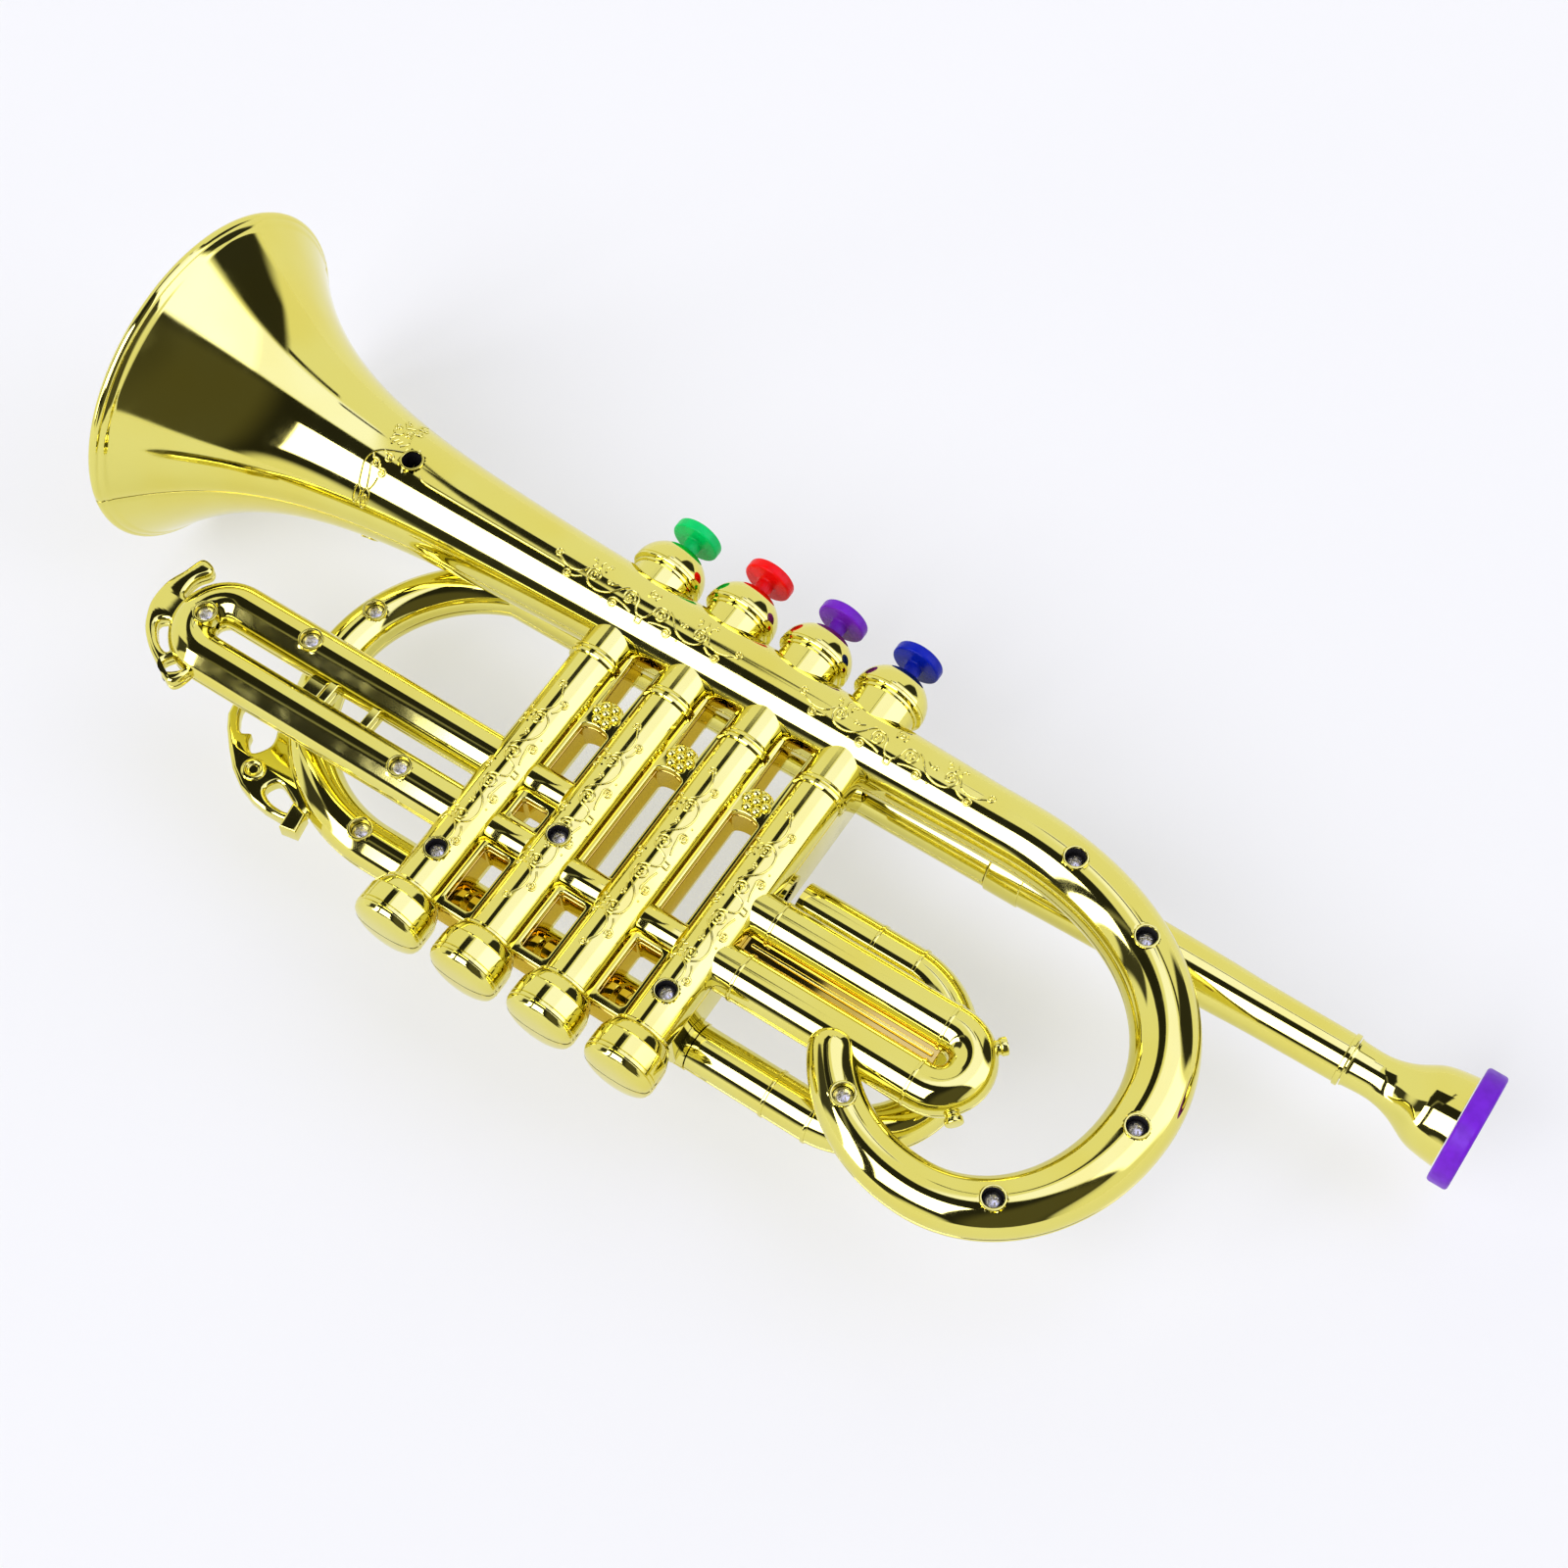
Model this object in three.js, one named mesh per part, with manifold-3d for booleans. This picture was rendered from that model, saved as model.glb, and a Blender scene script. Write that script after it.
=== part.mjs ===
// Toy trumpet in gold plated plastic, moulded as half shells that are screwed together on flat seams.
// Sizes are millimetres. It is drawn with the bell axis along X, from the bell mouth at zero toward the
// mouthpiece, with the keys toward +Y and the screw side toward +Z. At the end the whole part is set on
// the middle of its bounding box floor.
import * as THREE from 'three';
import { mergeVertices } from 'three/addons/utils/BufferGeometryUtils.js';
import Module from 'manifold-3d';

// Sizes that every shell shares
const wall = 1.8;
const clearance = 0.3;
const seamGap = 0.3;
const half = 0.5;
const quarterTurn = Math.PI * half;
const fullTurn = Math.PI / half;

// Bell and main tube, on the X axis, with the row of valves along it
const bellRadius = 50;
const rimRadius = 1.6;
const rimFlat = 2.4;
const rimShares = [-2, -1, 0, 1, 1.7];
const flareLength = 61;
const flareDecay = 29;
const flarePower = 1.1;
const tubeRadiusAtBell = 15.8;
const tubeRadiusAtBow = 9.3;
const flareShares = [0.06, 0.14, 0.25, 0.4, 0.6, 0.8, 1];
const tubeShares = [0, 0.2, 0.5, 1];
const neckScrewFromFlare = 11;
const neckScrewAt = flareLength + neckScrewFromFlare;
const firstValve = 143.85;
const valvePitch = 23.42;
const valveCount = 4;
const lastValve = firstValve + valvePitch * (valveCount - 1);
const bowFromValve = 37.89;
const tubeLength = lastValve + bowFromValve;

// Bow, the big loop that the tube turns into
const bowReach = 75.2;
const bowDrop = 94;
const bowSteps = 5;
const bowCurveShares = [
  [[0.133, 0], [0.665, 0], [1, -0.234], [1, -0.521]],
  [[1, -0.521], [1, -0.798], [0.771, -1], [0.505, -1]],
  [[0.505, -1], [0.239, -1], [0.066, -0.872], [0.013, -0.761]],
];
const bowRadii = [9.3, 8.7, 7.4, 5.8];
const bowTipRise = 3.5;
const bowScrewShares = [
  [0.367, -0.016], [0.707, -0.112], [1.008, -0.581], [0.749, -0.939], [0.169, -0.911],
];

// Valve casings, their caps and the windowed webs between them
const casingAxis = 1;
const casingRadius = 6.2;
const collarRadius = 7.1;
const collarRing = 0.6;
const collarRingWidth = 2.2;
const collarTop = -4;
const collarFoot = -19.6;
const casingBack = -14.5;
const casingBackTop = -8;
const casingBackFoot = -95;
const capTop = -97;
const capFoot = -110.8;
const capDome = 2.6;
const capRadius = 8.5;
const capRing = 0.5;
const capBack = -3;
const webFront = 2.4;
const webBack = -9;
const webFlange = 1.5;
const webTop = -5;
const webFoot = -97;
const slotWindow = [-33, -52];
const deepSlotWindow = [-33, -66];
const plainWindows = [[-8, -20], [-77, -94]];
const smallWindow = [-61.5, -66.3];
const linkRadius = 4;
const upperLink = -55;
const lowerLink = -71;
const linkRise = 0.5;
const knuckleAt = -28;
const knuckleRadius = 3.6;
const knuckleBalls = 5;
const knuckleBall = 1.9;
const knuckleSides = 4;
const knuckleRings = 2;
const knuckleRise = 0.5;

// Finger slides, flat U shaped tubes on the bell side and the bow side of the casings, with their places
// along X counted from the first or the last valve
const leftSlideAxis = -63.7;
const leftSlideSpread = 8.7;
const leftSlideRadius = 6.5;
const leftSlideReach = 87.85;
const leftSlideTurn = firstValve - leftSlideReach;
const leftSlideBars = [53.15, 39.25];
const leftSlideBlock = 58.15;
const leftSlideBlockFront = 0.5;
const rightSlideAxis = -62.8;
const rightSlideSpread = 8.4;
const rightSlideRadius = 6.4;
const rightSlideReach = 63.69;
const rightSlideTurn = lastValve + rightSlideReach;
const rightSlideRings = [11.59, 61.89];
const slideKnobRadius = 1.9;
const slideKnobLength = 2.5;
const ringRise = 0.55;
const ringWidth = 1.8;
const barWidth = 2.6;

// Finger hook at the left end of the left slide
const hookThickness = 4.4;
const hookHeight = 34.5;
const hookTop = -49.5;
const hookReach = 22.5;
const hookLeft = leftSlideTurn - hookReach;
const hookShares = [
  [0.101, 0], [0.052, -0.154], [0, -0.31], [0.003, -0.487], [0.055, -0.62], [0.13, -0.73], [0.258, -0.838],
  [0.38, -0.907], [0.501, -0.974], [0.603, -1], [0.658, -0.893], [0.652, -0.652], [0.478, -0.362],
  [0.319, -0.319], [0.203, -0.333], [0.177, -0.246], [0.188, -0.162], [0.243, -0.072], [0.212, -0.006],
];
const hookWindowShares = [
  [[0.18, -0.646], [0.2, -0.591], [0.275, -0.583], [0.4, -0.745], [0.391, -0.803], [0.284, -0.759]],
  [[0.438, -0.878], [0.525, -0.768], [0.609, -0.832], [0.513, -0.93]],
];

// Rear layer, the lead pipe with its arc and the rear slide
const rearPlane = -18;
const rearAxis = -0.1;
const leadRadiusLeft = 9.1;
const leadRadiusRight = 8.2;
const leadFromValve = 59.85;
const leadLeft = firstValve - leadFromValve;
const leadPastTube = 6;
const leadRight = tubeLength + leadPastTube;
const arcTubeRadius = 6.7;
const arcFromValve = 23.45;
const arcAt = firstValve - arcFromValve;
const arcFoot = -86.5;
const arcSteps = 10;
const turnSteps = 6;
const arcScrewAngles = [2.86, 4.62];
const rearSlideTop = -39.1;
const rearSlideReach = 41.59;
const rearSlideTurn = lastValve + rearSlideReach;
const rearSlideRadius = 6.4;
const rearSlideRings = [30.89, 43.39];
const braceThickness = 4.6;
const braceHeight = 35.5;
const braceTop = -62.5;
const braceReach = 58.2;
const braceLeft = arcAt - braceReach;
const braceShares = [
  [0, -0.211], [0.014, -0.299], [0.051, -0.408], [0.172, -0.6], [0.349, -0.749], [0.586, -0.89],
  [0.828, -0.961], [1.014, -1], [1.118, -0.977], [1.141, -0.851], [1.07, -0.617], [0.842, -0.473],
  [0.648, -0.287], [0.496, -0.062], [0.473, 0],
];
const braceWindowShares = [
  [[0.096, -0.268], [0.332, -0.197], [0.428, -0.296], [0.485, -0.394], [0.493, -0.473], [0.437, -0.62],
    [0.321, -0.501], [0.29, -0.437], [0.203, -0.462]],
  [[0.623, -0.752], [0.687, -0.687], [0.749, -0.701], [0.873, -0.766], [0.907, -0.828], [0.73, -0.845]],
];
const braceEyeShares = [0.493, -0.656];
const braceEyeRadius = 3;
const braceEyeBore = 1.1;
const braceEyeRise = 0.5;

// Mouth pipe, mouthpiece cup and its ring
const mouthFerruleRadius = 8.7;
const mouthFerruleLength = 10;
const mouthWaistShares = [[0.22, 8], [0.6, 7.35], [0.75, 6.9]];
const mouthPipeLength = 103;
const mouthEnd = leadRight + mouthPipeLength;
const mouthEndRadius = 6.7;
const mouthBore = 3.6;
const spigotLength = 6;
const cupShares = [[0, 6.7], [0.05, 6.3], [0.28, 6.2], [0.48, 7.7], [0.69, 10.9], [0.84, 12], [1, 12.6]];
const cupLength = 29.3;
const cupBowlDepth = 12;
const cupBowlRadius = 9.2;
const lipLength = 5.7;
const lipRadius = 16;
const lipBore = 9.8;
const lipRound = 0.8;

// Keys with their domes, springs and pads
const domeBase = 7.6;
const domeRadius = 9;
const domeFoot = 6;
const domeWaist = 15.4;
const domeStepOne = 16.4;
const domeStepTwo = 17.5;
const domeTop = 24.5;
const domeRise = 0.5;
const domeCrownShare = 0.93;
const domeShares = [0, 0.45, 0.8, 1];
const domeWall = 1.5;
const stemRadius = 1.5;
const stemFoot = 5.2;
const stemCollarRadius = 4;
const stemCollarFoot = 19.4;
const stemCollarHeight = 1.4;
const keyTravel = 3;
const buttonGap = 0.5;
const buttonHeight = 3;
const buttonFoot = domeTop + keyTravel + buttonGap;
const buttonTop = buttonFoot + buttonHeight;
const buttonRadius = 7;
const buttonRound = 0.7;
const springTurns = 3;
const springSteps = 6;
const springSides = 4;
const springRadius = 3.2;
const springWire = 0.45;
const padRadius = 3;
const padThickness = 1.6;
const padGap = 0.3;

// Reed block inside the main tube
const blockTop = 0;
const blockFoot = -4;
const blockHalfWidth = 4.5;
const blockLength = 88;
const cellRadius = 2.2;
const cellDepth = 3;
const reedLength = 12;
const reedWidth = 3;
const reedThickness = 0.4;
const ribThickness = 1.6;

// Screws
const screwHeadRadius = 2.5;
const screwHeadHeight = 1.4;
const screwCrownShare = 0.75;
const screwShankRadius = 1.1;
const screwLength = 9;
const screwCross = 0.7;
const screwCrossLength = 2.6;
const screwCrossDepth = 0.8;
const postRadius = 3;
const bossRadius = 3.7;
const bossRise = 0.5;
const headSink = 0.35;
const casingScrewValves = [0, 1, 3];
const casingScrewHeights = [-86.4, -66.6, -86.8];
const leftScrewsFromValve = [93.25, 64.75, 22.45];

// Numbers of sides of the round pieces
const bellSides = 32;
const tubeSides = 16;
const pipeSides = 10;
const smallSides = 8;
const turnedSides = 12;
const screwSides = 6;
const hollowSides = 6;
const tidyStep = 0.08;

// Colours and finishes
const gold = [0.93, 0.76, 0.2];
const plating = { roughness: 0.16, metalness: 1 };
const plasticFinish = { roughness: 0.32, metalness: 0 };
const bareMetal = { roughness: 0.3, metalness: 1 };
const softRubber = { roughness: 0.8, metalness: 0 };
const satinPlastic = { roughness: 0.5, metalness: 0 };
const keyColours = [[0, 0.6, 0.32], [0.85, 0.03, 0.05], [0.38, 0.16, 0.66], [0.02, 0.07, 0.6]];
const purple = [0.35, 0.12, 0.75];
const steel = [0.72, 0.72, 0.74];
const brass = [0.8, 0.62, 0.3];
const rubber = [0.06, 0.06, 0.06];
const blockGrey = [0.25, 0.25, 0.27];

const wasm = await Module();
wasm.setup();

// Turns a closed geometry into a solid, with its faces made to point outward.
function solid(geometry) {
  const plain = new THREE.BufferGeometry();
  plain.setAttribute('position', geometry.getAttribute('position').clone());
  if (geometry.index) plain.setIndex(geometry.index.clone());
  const welded = mergeVertices(plain);
  const places = welded.getAttribute('position');
  const corners = welded.index.array;
  const kept = [];
  let volume = 0;
  const [a, b, c] = [new THREE.Vector3(), new THREE.Vector3(), new THREE.Vector3()];
  for (let i = 0; i < corners.length; i += 3) {
    const [p, q, r] = [corners[i], corners[i + 1], corners[i + 2]];
    if (p === q || q === r || r === p) continue;
    kept.push([p, q, r]);
    a.fromBufferAttribute(places, p);
    b.fromBufferAttribute(places, q);
    c.fromBufferAttribute(places, r);
    volume += a.dot(b.cross(c));
  }
  const faces = volume < 0 ? kept.map(([p, q, r]) => [p, r, q]) : kept;
  const mesh = new wasm.Mesh({
    numProp: 3,
    vertProperties: new Float32Array(places.array),
    triVerts: new Uint32Array(faces.flat()),
  });
  return new wasm.Manifold(mesh);
}

// A solid turned about a line along X, from a list of [x, radius].
function turnedAlongX(profile, sides, y = 0, z = 0) {
  const outline = profile.map(([x, radius]) => new THREE.Vector2(radius, x));
  const geometry = new THREE.LatheGeometry(outline, sides);
  geometry.rotateZ(-quarterTurn);
  geometry.rotateX(quarterTurn);
  geometry.translate(0, y, z);
  return solid(geometry);
}

// A solid turned about a line along Y, from a list of [y, radius].
function turnedAlongY(profile, sides, x, z = 0) {
  const outline = profile.map(([y, radius]) => new THREE.Vector2(radius, y));
  const geometry = new THREE.LatheGeometry(outline, sides);
  geometry.translate(x, 0, z);
  return solid(geometry);
}

// A solid turned about a line along Z, from a list of [z, radius].
function turnedAlongZ(profile, sides, x, y) {
  const outline = profile.map(([z, radius]) => new THREE.Vector2(radius, z));
  const geometry = new THREE.LatheGeometry(outline, sides);
  geometry.rotateX(quarterTurn);
  geometry.translate(x, y, 0);
  return solid(geometry);
}

const rod = (low, high, radius) => [[low, 0], [low, radius], [high, radius], [high, 0]];

// A box between two corners.
function block(left, right, foot, top, back, front) {
  const geometry = new THREE.BoxGeometry(right - left, top - foot, front - back);
  geometry.translate((left + right) * half, (foot + top) * half, (back + front) * half);
  return solid(geometry);
}

// A flat plate from an outline of [x, y] points, between two heights of Z.
function plate(outline, back, front) {
  const shape = new THREE.Shape(outline.map(([x, y]) => new THREE.Vector2(x, y)));
  const geometry = new THREE.ExtrudeGeometry(shape, { depth: front - back, bevelEnabled: false });
  geometry.translate(0, 0, back);
  return solid(geometry);
}

// A round tube along a line of centres, with a radius at each; sideways is a direction square to the line.
function loft(centres, radii, sides, sideways = () => new THREE.Vector3(0, 0, 1)) {
  const last = centres.length - 1;
  const places = [];
  const corners = [];
  centres.forEach((centre, i) => {
    const along = centres[Math.min(i + 1, last)].clone().sub(centres[Math.max(i - 1, 0)]).normalize();
    const first = sideways(i);
    const second = along.clone().cross(first).normalize();
    for (let k = 0; k < sides; k += 1) {
      const angle = fullTurn * k / sides;
      const place = centre.clone();
      place.addScaledVector(first, radii[i] * Math.sin(angle));
      place.addScaledVector(second, radii[i] * Math.cos(angle));
      places.push(...place.toArray());
    }
  });
  for (let i = 0; i < last; i += 1) {
    for (let k = 0; k < sides; k += 1) {
      const next = (k + 1) % sides;
      const [p, q] = [i * sides + k, i * sides + next];
      corners.push(p, q, q + sides, p, q + sides, p + sides);
    }
  }
  const tail = last * sides;
  for (let k = 1; k < sides - 1; k += 1) {
    corners.push(0, k + 1, k);
    corners.push(tail, tail + k, tail + k + 1);
  }
  const geometry = new THREE.BufferGeometry();
  geometry.setAttribute('position', new THREE.Float32BufferAttribute(places, 3));
  geometry.setIndex(corners);
  return solid(geometry);
}

const point = (x, y, z = 0) => new THREE.Vector3(x, y, z);

// Centres along a U: in along one leg, round the turn and back along the other.
function uPath(open, turn, axis, spread, plane, toRight) {
  const side = toRight ? 1 : -1;
  const centres = [point(open, axis + spread, plane)];
  for (let k = 0; k <= turnSteps; k += 1) {
    const angle = quarterTurn - side * Math.PI * k / turnSteps;
    centres.push(point(turn + spread * Math.cos(angle), axis + spread * Math.sin(angle), plane));
  }
  centres.push(point(open, axis - spread, plane));
  return centres;
}

const same = (centres, radius) => centres.map(() => radius);

// The outer radius of the bell and tube at a place along X, and the wall's inner radius there.
function outerRadius(x) {
  const taper = tubeRadiusAtBell + (tubeRadiusAtBow - tubeRadiusAtBell) * x / tubeLength;
  return taper + (bellRadius - tubeRadiusAtBell) * Math.exp(-((Math.max(x, 0) / flareDecay) ** flarePower));
}

function innerRadius(x) {
  const slope = (outerRadius(x + half) - outerRadius(x - half));
  return outerRadius(x) - wall * Math.hypot(1, slope);
}

// The bow's centres with their radii; a smaller radius gives the hollow inside it.
function bowPath(inset) {
  const centres = [];
  const radii = [];
  bowCurveShares.forEach((shares, section) => {
    const [a, b, c, d] = shares.map(([x, y]) => point(tubeLength + x * bowReach, y * bowDrop));
    const curve = new THREE.CubicBezierCurve3(a, b, c, d);
    const first = section === 0 ? 0 : 1;
    for (let k = first; k <= bowSteps; k += 1) {
      const share = k / bowSteps;
      const rise = section === bowCurveShares.length - 1 ? bowTipRise * share * share : 0;
      centres.push(curve.getPoint(share).setZ(rise));
      radii.push(THREE.MathUtils.lerp(bowRadii[section], bowRadii[section + 1], share) - inset);
    }
  });
  return { centres, radii };
}

// The outer form of bell, tube and bow, grown by a clearance when it is used as a cutter.
function brassForm(grow) {
  const rimAngles = rimShares.map((share) => share * quarterTurn * half);
  const rim = rimAngles.map((angle) => [
    rimRadius * Math.sin(angle) - grow,
    bellRadius - rimRadius + rimRadius * Math.cos(angle) + grow,
  ]);
  const flare = flareShares.map((share) => [share * flareLength, outerRadius(share * flareLength) + grow]);
  const bell = turnedAlongX([[-rimRadius - grow, 0], ...rim, ...flare, [flareLength, 0]], bellSides);
  const straight = tubeShares.map((share) => THREE.MathUtils.lerp(flareLength, tubeLength, share));
  const bow = bowPath(-grow);
  const centres = [...straight.map((x) => point(x, 0)), ...bow.centres];
  const radii = [...straight.map((x) => outerRadius(x) + grow), ...bow.radii];
  return bell.add(loft(centres, radii, tubeSides));
}

// The hollow inside it, open at the bell mouth.
function brassHollow() {
  const mouth = bellRadius - rimRadius - rimFlat;
  const edge = -rimRadius - wall;
  const flare = flareShares.map((share) => [share * flareLength, innerRadius(share * flareLength)]);
  const profile = [[edge, 0], [edge, mouth], [0, mouth], ...flare, [flareLength, 0]];
  const bell = turnedAlongX(profile, bellSides);
  const straight = tubeShares.map((share) => THREE.MathUtils.lerp(flareLength - wall, tubeLength, share));
  const bow = bowPath(wall);
  const centres = [...straight.map((x) => point(x, 0)), ...bow.centres.slice(0, -1)];
  const radii = [...straight.map((x) => innerRadius(x)), ...bow.radii.slice(0, -1)];
  return bell.add(loft(centres, radii, pipeSides));
}

const far = tubeLength + mouthEnd;
const before = (plane) => block(-far, far, -far, far, plane + seamGap * half, far);
const behind = (plane) => block(-far, far, -far, far, -far, plane - seamGap * half);

// Screw places: x, y, the height of the surface there and the depth that the post reaches.
function bowSurface(x, y) {
  const { centres, radii } = bowPath(0);
  let nearest = 0;
  centres.forEach((centre, i) => {
    if (centre.distanceTo(point(x, y)) < centres[nearest].distanceTo(point(x, y))) nearest = i;
  });
  return radii[nearest];
}

function screwPlace(x, y, height, seam = 0) {
  return { x, y, surface: seam + height, foot: seam - height + wall * half };
}

const brassScrews = [
  screwPlace(neckScrewAt, 0, outerRadius(neckScrewAt)),
  ...bowScrewShares.map(([x, y]) => {
    const [right, up] = [tubeLength + x * bowReach, y * bowDrop];
    return screwPlace(right, up, bowSurface(right, up));
  }),
];
const casingX = (i) => firstValve + valvePitch * i;
const casingScrews = casingScrewValves.map((valve, i) => ({
  x: casingX(valve),
  y: casingScrewHeights[i],
  surface: casingAxis + casingRadius,
  foot: casingBack + wall * half,
}));
const leftScrewHeights = [leftSlideAxis, leftSlideAxis + leftSlideSpread, leftSlideAxis - leftSlideSpread];
const leftScrews = leftScrewsFromValve.map((reach, i) => (
  screwPlace(firstValve - reach, leftScrewHeights[i], leftSlideRadius)
));
const arcRadius = (rearAxis - arcFoot) * half;
const arcCentre = (rearAxis + arcFoot) * half;
const arcScrews = arcScrewAngles.map((angle) => screwPlace(
  arcAt + arcRadius * Math.cos(angle),
  arcCentre + arcRadius * Math.sin(angle),
  arcTubeRadius,
  rearPlane,
));

// A post round each screw through both halves, with a low ring where it meets the front surface.
function posts(screws, radius = postRadius) {
  return screws.map(({ x, y, surface, foot }) => {
    const profile = [[foot, 0], [foot, radius], [surface - wall, radius], [surface - wall, bossRadius],
      [surface + bossRise, bossRadius], [surface + bossRise, 0]];
    return turnedAlongZ(profile, screwSides, x, y);
  });
}

// The bore for the shank with the counterbore for the head.
function bores(screws) {
  return screws.map(({ x, y, surface, foot }) => {
    const [floor, seat] = [foot + wall * half, surface - headSink - screwHeadHeight - clearance];
    const [narrow, wide] = [screwShankRadius + clearance, screwHeadRadius + clearance];
    const top = surface + wall;
    const profile = [[floor, 0], [floor, narrow], [seat, narrow], [seat, wide], [top, wide], [top, 0]];
    return turnedAlongZ(profile, screwSides, x, y);
  });
}

const joined = (solids) => solids.reduce((sum, one) => sum.add(one));
const less = (start, solids) => solids.reduce((rest, one) => rest.subtract(one), start);

// A pan head screw with a cross recess.
function screw({ x, y, surface, foot }) {
  const top = surface - headSink;
  const seat = top - screwHeadHeight;
  const tip = Math.max(seat - screwLength, foot + wall * half + clearance);
  const profile = [[tip, 0], [tip, screwShankRadius], [seat, screwShankRadius],
    [seat, screwHeadRadius], [top, screwHeadRadius * screwCrownShare], [top, 0]];
  const body = turnedAlongZ(profile, screwSides, x, y);
  const [long, short] = [screwCrossLength * half, screwCross * half];
  const first = block(x - long, x + long, y - short, y + short, top - screwCrossDepth, top + wall);
  const second = block(x - short, x + short, y - long, y + long, top - screwCrossDepth, top + wall);
  return body.subtract(first.add(second));
}

// Casings with collars and caps, their deep backs and the webs between them.
function casingForm(grow) {
  const cap = [
    [capTop, capRadius + capRing + grow], [capTop - collarRingWidth, capRadius + capRing + grow],
    [capTop - collarRingWidth, capRadius + grow], [capFoot + capDome, capRadius + grow],
    [capFoot, capRadius * half], [capFoot - grow, 0],
  ];
  const profile = [
    [collarTop, 0], [collarTop, collarRadius + grow], [collarFoot + collarRingWidth, collarRadius + grow],
    [collarFoot + collarRingWidth, collarRadius + collarRing + grow],
    [collarFoot, collarRadius + collarRing + grow], [collarFoot, casingRadius + grow],
    [capTop, casingRadius + grow], ...cap,
  ];
  const [side, capSide] = [casingRadius + grow, capRadius + grow];
  const [foot, top, back] = [casingBackFoot - grow, casingBackTop + grow, casingBack - grow];
  const solids = [];
  for (let i = 0; i < valveCount; i += 1) {
    const x = casingX(i);
    solids.push(turnedAlongY(profile, turnedSides, x, casingAxis));
    solids.push(turnedAlongY([[capTop, 0], ...cap], turnedSides, x, capBack));
    solids.push(block(x - capSide, x + capSide, capFoot + capDome, capTop + grow, capBack, casingAxis));
    solids.push(block(x - side, x + side, foot, top, back, casingAxis));
  }
  return joined(solids);
}

function casingHollow() {
  const [bore, capBore] = [casingRadius - wall, capRadius - wall];
  const [foot, top, back] = [casingBackFoot + wall, casingBackTop - wall, casingBack + wall];
  const solids = [];
  for (let i = 0; i < valveCount; i += 1) {
    const x = casingX(i);
    const profile = [[collarTop - clearance, 0], [collarTop - clearance, bore], [capTop - wall, bore],
      [capTop - wall - wall, capBore], [capFoot + capDome, capBore], [capFoot + capDome, 0]];
    solids.push(turnedAlongY(profile, smallSides, x, casingAxis));
    solids.push(block(x - bore, x + bore, foot, top, back, casingAxis));
  }
  return joined(solids);
}

function webs() {
  const solids = [];
  for (let i = 0; i < valveCount - 1; i += 1) {
    const [left, right] = [casingX(i) + casingRadius, casingX(i + 1) - casingRadius];
    const middle = (left + right) * half;
    const reach = (right - left) * half;
    let web = block(left - wall * half, right + wall * half, webFoot, webTop, webBack, webFront);
    const side = reach - webFlange;
    const [slotTop, slotFoot] = i === 0 ? slotWindow : deepSlotWindow;
    const slot = block(middle - side, middle + side, slotFoot, slotTop - side, -far, far);
    web = web.subtract(slot.add(turnedAlongZ(rod(-far, far, side), turnedSides, middle, slotTop - side)));
    const squares = i === 0 ? [...plainWindows, smallWindow] : plainWindows;
    squares.forEach(([top, foot]) => {
      web = web.subtract(block(middle - side, middle + side, foot, top, -far, far));
    });
    const links = i === 0 ? [upperLink, lowerLink] : [lowerLink];
    links.forEach((y) => {
      const link = rod(left - wall, right + wall, linkRadius);
      web = web.add(turnedAlongX(link, pipeSides, y, casingAxis + linkRise));
    });
    const knuckle = [];
    for (let k = 0; k < knuckleBalls; k += 1) {
      const angle = fullTurn * k / knuckleBalls;
      const [x, y] = [middle + knuckleBall * Math.cos(angle), knuckleAt + knuckleBall * Math.sin(angle)];
      const ball = new THREE.SphereGeometry(knuckleBall, knuckleSides, knuckleRings);
      ball.translate(x, y, webFront);
      knuckle.push(solid(ball));
    }
    const centre = rod(0, webFront + knuckleRise, knuckleRadius);
    knuckle.push(turnedAlongZ(centre, smallSides, middle, knuckleAt));
    solids.push(web.add(joined(knuckle)));
  }
  return joined(solids);
}

// Slides: the outer U with its fittings, and the hollow in it.
function leftSlideForm(grow) {
  const path = uPath(firstValve, leftSlideTurn, leftSlideAxis, leftSlideSpread, 0, false);
  const form = loft(path, same(path, leftSlideRadius + grow), pipeSides);
  const [foot, top] = [leftSlideAxis - leftSlideSpread, leftSlideAxis + leftSlideSpread];
  const bars = leftSlideBars.map((reach) => {
    const x = firstValve - reach;
    return block(x - barWidth * half, x + barWidth * half, foot, top, -barWidth, barWidth);
  });
  const middle = firstValve - leftSlideBlock;
  const [left, right] = [middle - barWidth, middle + barWidth];
  const bridge = block(left, right, foot, top, -barWidth, leftSlideBlockFront);
  return joined([form, bridge, ...bars]);
}

function hookPlate() {
  const place = ([x, y]) => [hookLeft + x * hookHeight, hookTop + y * hookHeight];
  const body = plate(hookShares.map(place), -hookThickness * half, hookThickness * half);
  return less(body, hookWindowShares.map((shares) => plate(shares.map(place), -far, far)));
}

function slideHollow(path, radius) {
  return loft(path, same(path, radius - wall), hollowSides);
}

function rightSlideForm(grow) {
  const path = uPath(lastValve, rightSlideTurn, rightSlideAxis, rightSlideSpread, 0, true);
  const form = loft(path, same(path, rightSlideRadius + grow), pipeSides);
  const rings = [];
  rightSlideRings.forEach((reach) => {
    const x = lastValve + reach;
    [-rightSlideSpread, rightSlideSpread].forEach((spread) => {
      const profile = rod(x - ringWidth * half, x + ringWidth * half, rightSlideRadius + ringRise + grow);
      rings.push(turnedAlongX(profile, pipeSides, rightSlideAxis + spread, 0));
    });
  });
  return joined([form, ...rings]);
}

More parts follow.
